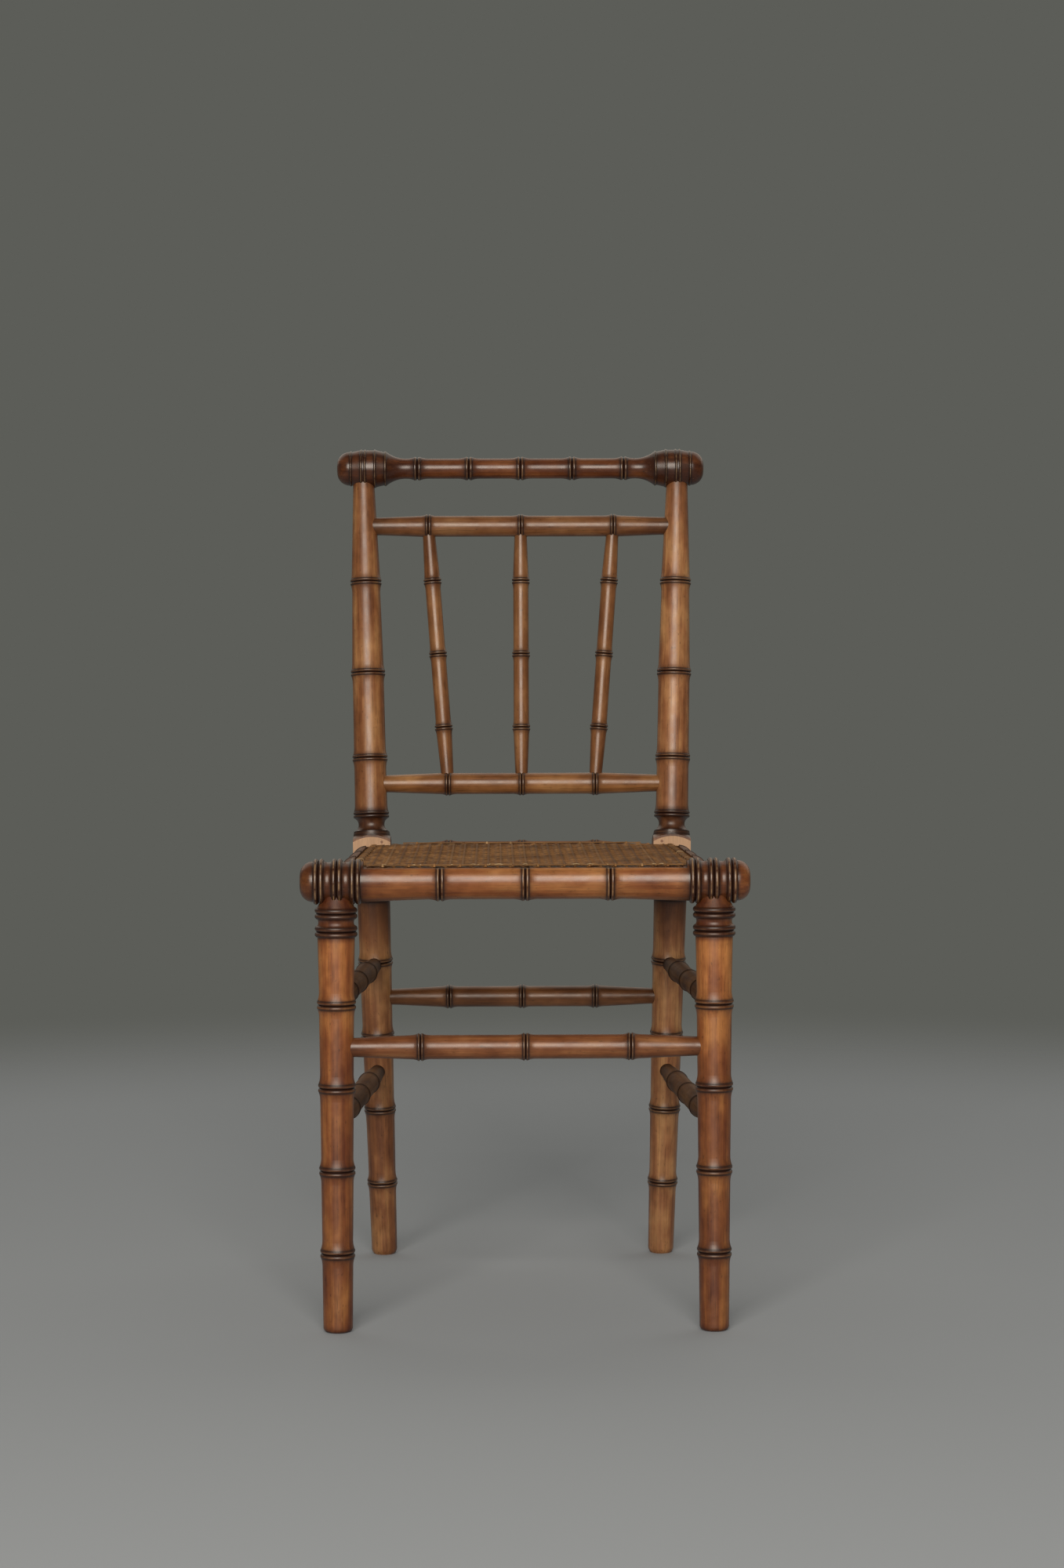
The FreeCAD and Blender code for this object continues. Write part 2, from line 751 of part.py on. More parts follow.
CROSS_STICKS = {
    "upper_back_rail": (post_point, rear_posts, post_spread, upper_back_rail_level, dim.upper_rail_end_radius,
                        dim.upper_rail_radius, dim.upper_rail_ring_pitch, back_rail_node, dim.tenon_web),
    "lower_back_rail": (post_point, rear_posts, post_spread, lower_back_rail_level, dim.lower_rail_end_radius,
                        dim.lower_rail_radius, dim.lower_rail_ring_pitch, back_rail_node, dim.tenon_web),
    "front_stretcher": (front_leg_point, front_legs, None, dim.front_stretcher_level,
                        dim.front_stretcher_end_radius, dim.front_stretcher_radius,
                        dim.front_stretcher_ring_pitch, stretcher_node, dim.tenon_web),
    "rear_stretcher": (rear_leg_point, rear_posts, post_spread, dim.rear_stretcher_level,
                       dim.rear_stretcher_end_radius, dim.rear_stretcher_radius,
                       dim.rear_stretcher_ring_pitch, stretcher_node, dim.tenon_web),
}
cross_sticks = {}
for label, (host_point, hosts, spread, level, end_radius, radius, pitch, node, web) in CROSS_STICKS.items():
    reach = spread(level) if spread else front_leg_spread
    right_end = host_point(1, level)
    middle = Vector(0, right_end.y, right_end.z)
    cross_sticks[label] = add_stick(label, reach - web, middle, Vector(1, 0, 0), UP, end_radius, radius, pitch,
                                    node, dim.tenon_length)
    for name, side in SIDES.items():
        socket(hosts[side], f"{label}_socket_{name}", end_radius, host_point(side, level),
               Vector(-side, 0, 0), web)

rear_rail_middle = Vector(0, FRONT_Y + dim.seat_frame_depth.value, seat_rail_level.value)
rear_rail = add_stick("rear_seat_rail", dim.block_spread - dim.rear_rail_web, rear_rail_middle, Vector(1, 0, 0),
                      UP, dim.rear_rail_end_radius, dim.rear_rail_radius, dim.rear_rail_ring_pitch,
                      seat_rail_node, dim.tenon_length)
for name, side in SIDES.items():
    socket(rear_posts[side], f"rear_rail_socket_{name}", dim.rear_rail_end_radius,
           point(side, dim.block_spread, dim.seat_frame_depth, seat_rail_level), Vector(-side, 0, 0),
           dim.rear_rail_web)


# Sticks from front to back: side stretchers and side seat rails

def side_run(front_spread, rear_spread, rear_setback):
    """The run of a side stick between its hosts' axes: its length, and its way from front to back."""
    inwards = front_spread - rear_spread
    return (inwards * inwards + rear_setback * rear_setback).root()


side_rails = {}
for name, side in SIDES.items():
    for place, level in (("upper", dim.upper_side_stretcher_level), ("lower", dim.lower_side_stretcher_level)):
        label = f"{place}_side_stretcher_{name}"
        front = front_leg_point(side, level)
        rear = rear_leg_point(side, level)
        along = (rear - front).normalize()
        run = side_run(front_leg_spread, post_spread(level), rear_leg_setback(level))
        add_stick(label, run / 2 - dim.tenon_web, (front + rear) / 2, along, UP, dim.side_stretcher_end_radius,
                  dim.side_stretcher_radius, dim.side_stretcher_ring_pitch, side_stretcher_node,
                  dim.tenon_length)
        socket(front_legs[side], f"{label}_front_socket", dim.side_stretcher_end_radius, front, along,
               dim.tenon_web)
        socket(rear_posts[side], f"{label}_rear_socket", dim.side_stretcher_end_radius, rear, -along,
               dim.tenon_web)

    label = f"side_seat_rail_{name}"
    front = point(side, side_rail_spread, ZERO, seat_rail_level)
    rear = point(side, dim.block_spread, dim.seat_frame_depth, seat_rail_level)
    along = (rear - front).normalize()
    run = side_run(side_rail_spread, dim.block_spread, dim.seat_frame_depth)
    webs = dim.side_rail_front_web + dim.tenon_web
    middle = (front + rear) / 2 + along * ((dim.side_rail_front_web - dim.tenon_web) / 2).value
    side_rails[side] = add_stick(label, (run - webs) / 2, middle, along, UP, dim.side_rail_end_radius,
                                 dim.side_rail_radius, dim.side_rail_ring_pitch, seat_rail_node,
                                 dim.tenon_length)
    socket(front_rail, f"{label}_front_socket", dim.side_rail_end_radius, front, along, dim.side_rail_front_web)
    socket(rear_posts[side], f"{label}_rear_socket", dim.side_rail_end_radius, rear, -along, dim.tenon_web)

# Back spindles, fanned from the lower back rail's nodes to the upper one's

for name, step in (("left", -1), ("centre", 0), ("right", 1)):
    label = f"spindle_{name}"
    top_spread = dim.upper_rail_ring_pitch * step
    bottom_spread = dim.lower_rail_ring_pitch * step
    rise = upper_back_rail_level - lower_back_rail_level
    setback = rise * dim.back_rake.tangent()
    fan = top_spread - bottom_spread
    run = (rise * rise + setback * setback + fan * fan).root()
    top = point(1, top_spread, upright_setback(upper_back_rail_level), upper_back_rail_level)
    bottom = point(1, bottom_spread, upright_setback(lower_back_rail_level), lower_back_rail_level)
    along = (top - bottom).normalize()
    add_stick(label, run / 2 - dim.spindle_web, (top + bottom) / 2, along, Vector(0, 1, 0),
              dim.spindle_end_radius, dim.spindle_radius, dim.spindle_ring_pitch, spindle_node,
              dim.spindle_tenon_length)
    socket(cross_sticks["upper_back_rail"], f"{label}_top_socket", dim.spindle_end_radius, top, -along,
           dim.spindle_web)
    socket(cross_sticks["lower_back_rail"], f"{label}_bottom_socket", dim.spindle_end_radius, bottom, along,
           dim.spindle_web)

# Ledges for the cane: the front rail is flat across its top, the other rails on their inner half

ledge_width = dim.rail_end_radius * 2
front_flat = (dim.seat_level - front_rail_level).value
cut_box(front_rail, "front_flat",
        Vector(-dim.rail_end_radius.value, front_flat, -dim.rail_flat_half.value),
        ledge_width, ledge_width, dim.rail_flat_half * 2)
ledge_height = (dim.seat_level - seat_rail_level).value
rear_ledge_half = dim.block_spread - dim.block_width / 2
cut_box(rear_rail, "rear_ledge",
        Vector((dim.ledge_wall - ledge_width).value, ledge_height, -rear_ledge_half.value),
        ledge_width, ledge_width, rear_ledge_half * 2)
for name, side in SIDES.items():
    start = -dim.ledge_wall.value if side > 0 else (dim.ledge_wall - ledge_width).value
    cut_box(side_rails[side], f"side_ledge_{name}",
            Vector(start, ledge_height, (-dim.seat_frame_depth / 2).value),
            ledge_width, ledge_width, dim.seat_frame_depth)


# Rows of caning holes, and a peg in every second hole

def cane_row(rail, name, first, along, run):
    """Bores evenly spaced holes down through a rail, and returns the places of their mouths on the ledge.

    The run takes an even number of spaces, so that a peg stands in both end holes.
    """
    spaces = (run / (dim.cane_pitch * 2)).rounded() * 2
    hole = rail.newObject("PartDesign::SubtractiveCylinder", f"{name}_first_hole")
    hole.setExpression("Radius", dim.cane_hole_radius.text)
    hole.setExpression("Height", dim.bore_reach.text)
    hole.Placement = rail.Placement.inverse() * Placement(first + UP * dim.tip_chamfer.value, Rotation(UP, -UP))
    row = rail.newObject("PartDesign::LinearPattern", f"{name}_holes")
    row.Originals = [hole]
    row.Direction = (origin_feature(rail, "Z_Axis"), [""])
    row.setExpression("Length", run.text)
    row.setExpression("Occurrences", (spaces + 1).text)
    rail.Tip = row
    step = along * (run / spaces).value
    return [first + step * place for place in range(spaces.value + 1)]


mouths = []
front_row_half = dim.rail_flat_half - dim.front_row_margin
mouths += cane_row(front_rail, "front", point(-1, front_row_half, dim.front_hole_inset, dim.seat_level),
                   Vector(1, 0, 0), front_row_half * 2)[::2]
rear_row_half = dim.block_spread - dim.block_width / 2 - dim.rear_row_margin
mouths += cane_row(rear_rail, "rear",
                   point(-1, rear_row_half, dim.seat_frame_depth - dim.cane_hole_inset, dim.seat_level),
                   Vector(1, 0, 0), rear_row_half * 2)[::2]
side_row = dim.seat_frame_depth - dim.block_width / 2 - dim.side_row_margin - dim.side_row_start
for name, side in SIDES.items():
    placement = side_rails[side].Placement
    along = placement.Rotation.multVec(UP)
    inwards = placement.Rotation.multVec(Vector(side, 0, 0))
    front = point(side, side_rail_spread, ZERO, dim.seat_level)
    first = front + along * dim.side_row_start.value + inwards * dim.cane_hole_inset.value
    mouths += cane_row(side_rails[side], f"side_{name}", first, along, side_row)[::2]

pegs = []
for number, mouth in enumerate(mouths, start=1):
    peg = doc.addObject("Part::Cone", f"peg_{number}")
    peg.setExpression("Radius1", (dim.cane_hole_radius - dim.peg_clearance - dim.peg_taper).text)
    peg.setExpression("Radius2", (dim.cane_hole_radius - dim.peg_clearance).text)
    peg.setExpression("Height", dim.peg_length.text)
    peg.Placement = Placement(mouth - UP * dim.peg_length.value, Rotation())
    pegs.append(peg)
caning_pegs = doc.addObject("Part::Compound", "caning_pegs")
caning_pegs.Label = "caning_pegs"
caning_pegs.Links = pegs

# Woven cane panel: it lies on the ledges, clear of the front rail's rings and of the posts' blocks


def side_edge(setback):
    """The spread of the panel's side edge, which follows the side rail's row of holes."""
    narrowing = (side_rail_spread - dim.block_spread) * setback / dim.seat_frame_depth
    return side_rail_spread - narrowing - dim.cane_hole_inset + dim.cane_margin


front_edge = dim.front_hole_inset - dim.cane_margin
ring_clear = rail_reach + dim.cane_gap
block_clear = dim.seat_frame_depth - dim.block_width / 2 - dim.cane_gap
rear_edge = dim.seat_frame_depth - dim.cane_hole_inset + dim.cane_margin
front_corner = front_row_half + dim.cane_margin
rear_corner = dim.block_spread - dim.block_width / 2 - dim.cane_gap
right_side = [(front_corner, front_edge), (front_corner, ring_clear), (side_edge(ring_clear), ring_clear),
              (side_edge(block_clear), block_clear), (rear_corner, block_clear), (rear_corner, rear_edge)]
left_side = [(-spread, setback) for spread, setback in reversed(right_side)]
cane = new_body("cane_seat", Placement(Vector(0, FRONT_Y, dim.seat_level.value), Rotation()))
panel = cane.newObject("PartDesign::Pad", "cane_panel")
panel.Profile = draw_outline(cane, "cane_outline", "XY_Plane",
                             [(spread, setback, None) for spread, setback in right_side + left_side])
panel.setExpression("Length", dim.cane_thickness.text)

# Openings between the rails: a plain grid, coarser than six-way cane but as open as it is
grid_front = dim.rail_body_radius
grid_depth = dim.seat_frame_depth - dim.rear_rail_radius - grid_front
grid_width = rear_corner * 2
openings_across = (grid_width / dim.cane_opening_pitch).rounded()
openings_deep = (grid_depth / dim.cane_opening_pitch).rounded()
pitch_across = grid_width / openings_across
pitch_deep = grid_depth / openings_deep
opening_width = pitch_across * dim.cane_opening_share
opening_depth = pitch_deep * dim.cane_opening_share
first_corner = Vector(((pitch_across - opening_width) / 2 - rear_corner).value,
                      ((pitch_deep - opening_depth) / 2 + grid_front).value,
                      -dim.cane_thickness.value)
opening = cut_box(cane, "cane_opening", first_corner, opening_width, opening_depth, dim.cane_thickness * 3)
grid = cane.newObject("PartDesign::LinearPattern", "cane_openings")
grid.Originals = [opening]
grid.Direction = (origin_feature(cane, "X_Axis"), [""])
grid.setExpression("Length", (pitch_across * (openings_across - 1)).text)
grid.setExpression("Occurrences", openings_across.text)
grid.Direction2 = (origin_feature(cane, "Y_Axis"), [""])
grid.setExpression("Length2", (pitch_deep * (openings_deep - 1)).text)
grid.setExpression("Occurrences2", openings_deep.text)
cane.Tip = grid


# Binder canes over the rows of holes

def add_binder(label, middle, along, half_length):
    """A flat strip on the panel's top, along a row of holes."""
    binder = new_body(label, frame_along(middle, UP, along))
    half_width = dim.binder_width / 2
    outline = draw_outline(binder, f"{label}_outline", "XY_Plane",
                           [(-half_width, -half_length, None), (half_width, -half_length, None),
                            (half_width, half_length, None), (-half_width, half_length, None)])
    strip = binder.newObject("PartDesign::Pad", f"{label}_strip")
    strip.Profile = outline
    strip.setExpression("Length", dim.binder_thickness.text)


panel_top = dim.seat_level + dim.cane_thickness
add_binder("cane_binder_front", point(0, ZERO, dim.front_hole_inset, panel_top), Vector(1, 0, 0),
           front_row_half + dim.binder_end_margin)
add_binder("cane_binder_rear", point(0, ZERO, dim.seat_frame_depth - dim.cane_hole_inset, panel_top),
           Vector(1, 0, 0), rear_row_half + dim.binder_end_margin)
for name, side in SIDES.items():
    placement = side_rails[side].Placement
    along = placement.Rotation.multVec(UP)
    inwards = placement.Rotation.multVec(Vector(side, 0, 0))
    front = point(side, side_rail_spread, ZERO, panel_top)
    middle = front + along * (dim.side_row_start + side_row / 2).value + inwards * dim.cane_hole_inset.value
    add_binder(f"cane_binder_{name}", middle, along, side_row / 2 + dim.binder_end_margin)

# Checks, and one file for each piece

doc.recompute()
for item in doc.Objects:
    if "Invalid" in item.State or "Error" in item.State:
        raise RuntimeError(f"{item.Label} could not be worked out: {item.State}")
pieces = [item for item in doc.Objects if item.TypeId in ("PartDesign::Body", "Part::Compound")]
for piece in pieces:
    if piece.Shape.isNull() or not piece.Shape.isValid():
        raise RuntimeError(f"{piece.Label} has no valid shape")

os.makedirs("parts", exist_ok=True)
for piece in pieces:
    piece.Shape.exportStep(f"parts/{piece.Label}.step")
    print(f"{piece.Label}: {len(piece.Shape.Solids)} solid(s), {piece.Shape.Volume:.0f} cubic mm")
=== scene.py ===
"""Looks of the faux bamboo side chair: stained, varnished beech turnings and a seat woven from cane."""
import math
import random

import bpy
import numpy as np
from mathutils import Matrix, Vector


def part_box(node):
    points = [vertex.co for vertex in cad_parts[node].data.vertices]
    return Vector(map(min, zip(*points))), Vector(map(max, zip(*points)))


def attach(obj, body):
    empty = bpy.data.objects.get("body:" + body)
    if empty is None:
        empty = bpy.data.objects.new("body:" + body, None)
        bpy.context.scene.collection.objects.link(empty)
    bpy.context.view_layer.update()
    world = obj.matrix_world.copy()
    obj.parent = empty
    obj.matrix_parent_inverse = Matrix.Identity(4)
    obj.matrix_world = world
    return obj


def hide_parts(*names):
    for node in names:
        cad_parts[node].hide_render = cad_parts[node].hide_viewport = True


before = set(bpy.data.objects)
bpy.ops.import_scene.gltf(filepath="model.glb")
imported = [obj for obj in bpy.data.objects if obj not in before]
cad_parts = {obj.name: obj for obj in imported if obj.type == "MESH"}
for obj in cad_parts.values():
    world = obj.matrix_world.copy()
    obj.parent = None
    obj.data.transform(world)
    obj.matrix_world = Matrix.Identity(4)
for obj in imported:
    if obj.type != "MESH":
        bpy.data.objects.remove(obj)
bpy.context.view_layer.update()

# Front legs
# Each is turned from one length of beech, with four bamboo nodes and a dark ringed collar, stained
# honey brown and varnished. A round tenon on its top is glued into the end of the front seat rail.

# Sizes are in millimetres, which this turns into metres
MM = 0.001
# A ring is placed by the groove between its two beads, or by the crest of a bead that stands alone
GROOVE = 0.0
CREST = 0.5
LEG_FIRST_NODE = 76.5
LEG_PITCH = 80.5
LEG_BEAD = 4.2
COLLAR_BEAD = 4.4
LEG_RINGS = [(LEG_FIRST_NODE + LEG_PITCH * count, LEG_BEAD, GROOVE) for count in range(4)]
LEG_COLLAR = [(level, COLLAR_BEAD, GROOVE) for level in (389, 406.5)]
LEG_STAIN = ("#5b2c15", "#7d4925", "#a06a3a")
LEG_TONE = [(0, 0.55, 0.5), (8, 0.86, 0.4), (60, 0.86, 0.2), (140, 0.92, 0.1), (250, 1.02, 0.1),
            (300, 1.15, 0.1), (379, 1.25, 0.1), (383, 0.88, 0.1), (410, 0.74, 0.1), (440, 0.56, 0.05)]
GATHERED_STAIN = "#24110a"
WORN_WOOD = "#c8a67a"
BARE_WOOD = "#b18e70"
BARE_ROUGHNESS = 0.7
# Across a ring, in bead widths from its groove: how much of the wood the gathered stain lets through,
# and how far the bead's crest is worn
RING_REACH = 4
RING_SHADES = [(0, 0.0, 0.0), (0.2, 0.04, 0.0), (0.4, 0.30, 0.1), (0.5, 0.42, 1.0), (0.6, 0.32, 0.1),
               (0.9, 0.05, 0.0), (1.06, 0.08, 0.0), (1.24, 0.46, 0.0), (1.6, 0.74, 0.0),
               (2.4, 0.90, 0.0), (RING_REACH, 1.0, 0.0)]


def middle_of(node):
    """The middle of a node's box, which lies on the axis of a straight stick."""
    low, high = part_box(node)
    return (low + high) / 2


def linear(colour):
    """Turns an sRGB hex colour into the linear values that the shaders take."""
    parts = [int(colour[place:place + 2], 16) / 255 for place in (1, 3, 5)]
    parts = [part / 12.92 if part <= 0.04045 else ((part + 0.055) / 1.055) ** 2.4 for part in parts]
    return (*parts, 1)


def add(tree, kind, inputs=None, stops=(), **settings):
    """Adds a node with its settings.

    Inputs, by a socket's name or number, are values or the outputs that feed them; stops are a ramp's.
    A Map Range takes its value at 0, the range it comes from at 1 and 2 and the one it goes to at 3 and 4.
    A Mix takes its share at 0, and numbers at 2 and 3, vectors at 4 and 5 or colours at 6 and 7.
    """
    node = tree.nodes.new(kind)
    for setting, value in settings.items():
        setattr(node, setting, value)
    for socket, value in (inputs or {}).items():
        if isinstance(value, bpy.types.NodeSocket):
            tree.links.new(value, node.inputs[socket])
        else:
            node.inputs[socket].default_value = value
    for count, (place, colour) in enumerate(stops):
        stop = node.color_ramp.elements[count] if count < 2 else node.color_ramp.elements.new(place)
        stop.position = place
        stop.color = colour
    return node


def new_tree(name, node=None):
    """The empty tree of a new material, which takes the place of the one on a node of the frame."""
    material = bpy.data.materials.new(name)
    material.use_nodes = True
    material.node_tree.nodes.clear()
    if node:
        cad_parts[node].data.materials.clear()
        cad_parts[node].data.materials.append(material)
    return material.node_tree


def lathe_space(tree, origin, along):
    """Places in millimetres about a stick's own axis: Z runs along it from the origin."""
    place = add(tree, "ShaderNodeTexCoord").outputs["Object"]
    turn = Vector(along).to_track_quat("Z", "Y").to_euler()
    return add(tree, "ShaderNodeMapping",
               {"Vector": place, "Location": origin, "Rotation": turn, "Scale": (MM, MM, MM)},
               vector_type="TEXTURE").outputs[0]


def grain(tree, local, seed, width, length, detail):
    """Noise drawn out along the stick: how wide and how long its streaks are, in millimetres.

    Each seed takes another part of the noise.
    """
    place = add(tree, "ShaderNodeMapping",
                {"Vector": local, "Location": (seed * 37.0, seed * 19.0, seed * 61.0),
                 "Scale": (1 / width, 1 / width, 1 / length)}).outputs[0]
    return add(tree, "ShaderNodeTexNoise", {"Vector": place, "Scale": 1.0, "Detail": detail}).outputs[0]


def stained_beech(tree, local, rings, stain, tone, seed, gloss=0.34, shine=0.5, bare=None):
    """Turned beech under brown stain and satin varnish.

    The eye gets honey and red-brown patches drawn out along the stick, thin dark pore lines, stain
    gathered nearly black in the grooves and fading away from them, and pale lines where handling has
    worn the ridges. Rings are (place along the stick, bead width, where its outline starts); stain is
    its deep, middle and bright colour; tone is (place, brightness, wear); gloss is the varnish's
    roughness and shine its strength; bare masks wood that was never stained.
    """
    along = add(tree, "ShaderNodeSeparateXYZ", {0: local}).outputs["Z"]
    # The slow change along the stick: red is half its brightness, green how far its ridges are worn
    start = tone[0][0]
    length = tone[-1][0] - start
    tone_at = add(tree, "ShaderNodeMapRange", {0: along, 1: start, 2: start + length}).outputs[0]
    tone_stops = [((place - start) / length, (brightness / 2, wear, 0, 1))
                  for place, brightness, wear in tone]
    tone_ramp = add(tree, "ShaderNodeValToRGB", {0: tone_at}, stops=tone_stops).outputs[0]
    tone_parts = add(tree, "ShaderNodeSeparateColor", {0: tone_ramp})
    half_brightness = tone_parts.outputs[0]
    wear = tone_parts.outputs[1]

    # Growth layers about 5 mm apart and patches of uneven stain, 22 mm wide and 45 mm long, choose
    # between the stain's colours, which are deeper where the stick is darker
    layers = grain(tree, local, seed, width=5, length=170, detail=4.0)
    patches = grain(tree, local, seed, width=22, length=45, detail=3.0)
    uneven = add(tree, "ShaderNodeMix", {0: 0.6, 2: layers, 3: patches}).outputs[0]
    depth = add(tree, "ShaderNodeMath", {0: half_brightness, 1: 0.6, 2: -0.3},
                operation="MULTIPLY_ADD").outputs[0]
    uneven = add(tree, "ShaderNodeMath", {0: uneven, 1: depth}, operation="ADD").outputs[0]
    deep, middle, bright = (linear(colour) for colour in stain)
    colour = add(tree, "ShaderNodeValToRGB", {0: uneven},
                 stops=((0.34, deep), (0.50, middle), (0.66, bright))).outputs[0]

    # Fibres and pores, a fifth of a millimetre on real beech, are drawn 1 to 1.6 mm wide so that they show
    fibres = grain(tree, local, seed, width=1.6, length=60, detail=3.0)
    fibre_shade = add(tree, "ShaderNodeMapRange", {0: fibres, 1: 0.3, 2: 0.7, 3: 0.86, 4: 1.1}).outputs[0]
    pores = grain(tree, local, seed + 3, width=1.0, length=24, detail=2.0)
    pores = add(tree, "ShaderNodeMapRange", {0: pores, 1: 0.58, 2: 0.7}).outputs[0]
    pore_shade = add(tree, "ShaderNodeMapRange", {0: pores, 3: 1.0, 4: 0.66}).outputs[0]
    # The varnish has gone cloudy in spots of 7 to 10 mm
    mottle = grain(tree, local, seed, width=7, length=10, detail=2.0)
    mottle_shade = add(tree, "ShaderNodeMapRange", {0: mottle, 1: 0.3, 2: 0.7, 3: 0.9, 4: 1.08}).outputs[0]
    # Dents and knocks, 2 to 5 mm long, that have filled with dirt
    knocks = grain(tree, local, seed + 5, width=2.5, length=5, detail=3.0)
    knock_shade = add(tree, "ShaderNodeMapRange", {0: knocks, 1: 0.64, 2: 0.74, 3: 1.0, 4: 0.6}).outputs[0]
    shade = add(tree, "ShaderNodeMath", {0: half_brightness, 1: 2.0}, operation="MULTIPLY").outputs[0]
    for other in (fibre_shade, pore_shade, mottle_shade, knock_shade):
        shade = add(tree, "ShaderNodeMath", {0: shade, 1: other}, operation="MULTIPLY").outputs[0]
    colour = add(tree, "ShaderNodeVectorMath", {0: colour, "Scale": shade}, operation="SCALE").outputs[0]

    # Distance to the nearest ring, in bead widths: a groove at 0, the bead's crest at 0.5, its foot at 1
    nearest = None
    for place, bead, outset in rings:
        offset = add(tree, "ShaderNodeMath", {0: along, 1: place}, operation="SUBTRACT").outputs[0]
        away = add(tree, "ShaderNodeMath", {0: offset}, operation="ABSOLUTE").outputs[0]
        share = add(tree, "ShaderNodeMath", {0: away, 1: 1 / bead, 2: outset},
                    operation="MULTIPLY_ADD").outputs[0]
        if nearest is None:
            nearest = share
        else:
            nearest = add(tree, "ShaderNodeMath", {0: nearest, 1: share}, operation="MINIMUM").outputs[0]
    ring_at = add(tree, "ShaderNodeMath", {0: nearest, 1: 1 / RING_REACH}, operation="MULTIPLY").outputs[0]
    ring_stops = [(widths / RING_REACH, (clear, worn_crest, 0, 1))
                  for widths, clear, worn_crest in RING_SHADES]
    ring_ramp = add(tree, "ShaderNodeValToRGB", {0: ring_at}, stops=ring_stops).outputs[0]
    ring_parts = add(tree, "ShaderNodeSeparateColor", {0: ring_ramp})
    ring_clear = ring_parts.outputs[0]
    ring_crest = ring_parts.outputs[1]
    colour = add(tree, "ShaderNodeMix", {0: ring_clear, 6: linear(GATHERED_STAIN), 7: colour},
                 data_type="RGBA").outputs[2]

    # Pale wood where the crests of the beads are worn through, and in scuffs about 5 mm long
    crests = add(tree, "ShaderNodeMapRange", {0: mottle, 1: 0.35, 2: 0.62}).outputs[0]
    crests = add(tree, "ShaderNodeMath", {0: crests, 1: ring_crest}, operation="MULTIPLY").outputs[0]
    scuffs = grain(tree, local, seed + 9, width=1.6, length=5, detail=4.0)
    scuffs = add(tree, "ShaderNodeMapRange", {0: scuffs, 1: 0.66, 2: 0.8, 4: 0.4}).outputs[0]
    worn = add(tree, "ShaderNodeMath", {0: crests, 1: scuffs}, operation="MAXIMUM").outputs[0]
    worn = add(tree, "ShaderNodeMath", {0: worn, 1: wear}, operation="MULTIPLY").outputs[0]
    colour = add(tree, "ShaderNodeMix", {0: worn, 6: colour, 7: linear(WORN_WOOD)},
                 data_type="RGBA").outputs[2]

    # The cloudy spots are a little rougher than the varnish around them, and bare wood is dull
    roughness = add(tree, "ShaderNodeMapRange",
                    {0: mottle, 1: 0.3, 2: 0.7, 3: gloss - 0.05, 4: gloss + 0.05}).outputs[0]
    if bare is not None:
        raw = add(tree, "ShaderNodeVectorMath", {0: linear(BARE_WOOD)[:3], "Scale": fibre_shade},
                  operation="SCALE").outputs[0]
        colour = add(tree, "ShaderNodeMix", {0: bare, 6: colour, 7: raw}, data_type="RGBA").outputs[2]
        roughness = add(tree, "ShaderNodeMix", {0: bare, 2: roughness, 3: BARE_ROUGHNESS}).outputs[0]
    height = add(tree, "ShaderNodeMath", {0: fibres, 1: pores}, operation="SUBTRACT").outputs[0]
    bump = add(tree, "ShaderNodeBump",
               {"Strength": 0.2, "Distance": 0.03 * MM, "Height": height}).outputs[0]
    surface = add(tree, "ShaderNodeBsdfPrincipled",
                  {"Base Color": colour, "Roughness": roughness, "Normal": bump, "IOR": 1.5,
                   "Specular IOR Level": shine}).outputs[0]
    add(tree, "ShaderNodeOutputMaterial", {0: surface})


for count, name in enumerate(("left", "right")):
    node = f"front_leg_{name}"
    leg_foot = middle_of(node)
    leg_foot.z = 0
    tree = new_tree(f"stained_beech_{node}", node)
    local = lathe_space(tree, leg_foot, (0, 0, 1))
    stained_beech(tree, local, LEG_RINGS + LEG_COLLAR, LEG_STAIN, LEG_TONE, seed=1 + count, gloss=0.42)

# Front seat rail
# A stout turning across the front, with three nodes, flat on top for the cane, and three pairs of rings
# and a dome on each end. The legs' tenons and the side rails are glued into it, and hands have worn its
# end rings.

FRONT_RAIL_HALF = 217
FRONT_RAIL_PITCH = 82
FRONT_RAIL_BEAD = 3.8
END_RING_INSET = 18
END_RING_PITCH = 17.7
END_RING_BEAD = 5.3
END_RINGS = [(side * (FRONT_RAIL_HALF - END_RING_INSET - END_RING_PITCH * count), END_RING_BEAD, GROOVE)
             for side in (-1, 1) for count in range(3)]
FRONT_RAIL_STAIN = ("#6a381a", "#86512b", "#9d6b3e")
FRONT_RAIL_TONE = [(-217, 0.6, 0.5), (-205, 0.65, 0.6), (-158, 0.6, 0.6), (-146, 0.9, 0.6), (-60, 1.0, 0.6),
                   (60, 1.05, 0.6), (146, 0.95, 0.6), (158, 0.62, 0.6), (205, 0.9, 0.6), (217, 1.0, 0.5)]


def three_rings(pitch, bead):
    """A ring in the middle of a stick and one on each side of it."""
    return [(pitch * count, bead, GROOVE) for count in (-1, 0, 1)]


def stain_stick(node, along, rings, stain, tone, seed, **varnish):
    """Stains a stick whose axis runs through the middle of its box."""
    tree = new_tree(f"stained_beech_{node}", node)
    local = lathe_space(tree, middle_of(node), along)
    stained_beech(tree, local, rings, stain, tone, seed, **varnish)


stain_stick("front_seat_rail", (1, 0, 0), three_rings(FRONT_RAIL_PITCH, FRONT_RAIL_BEAD) + END_RINGS,
            FRONT_RAIL_STAIN, FRONT_RAIL_TONE, seed=3, gloss=0.32)
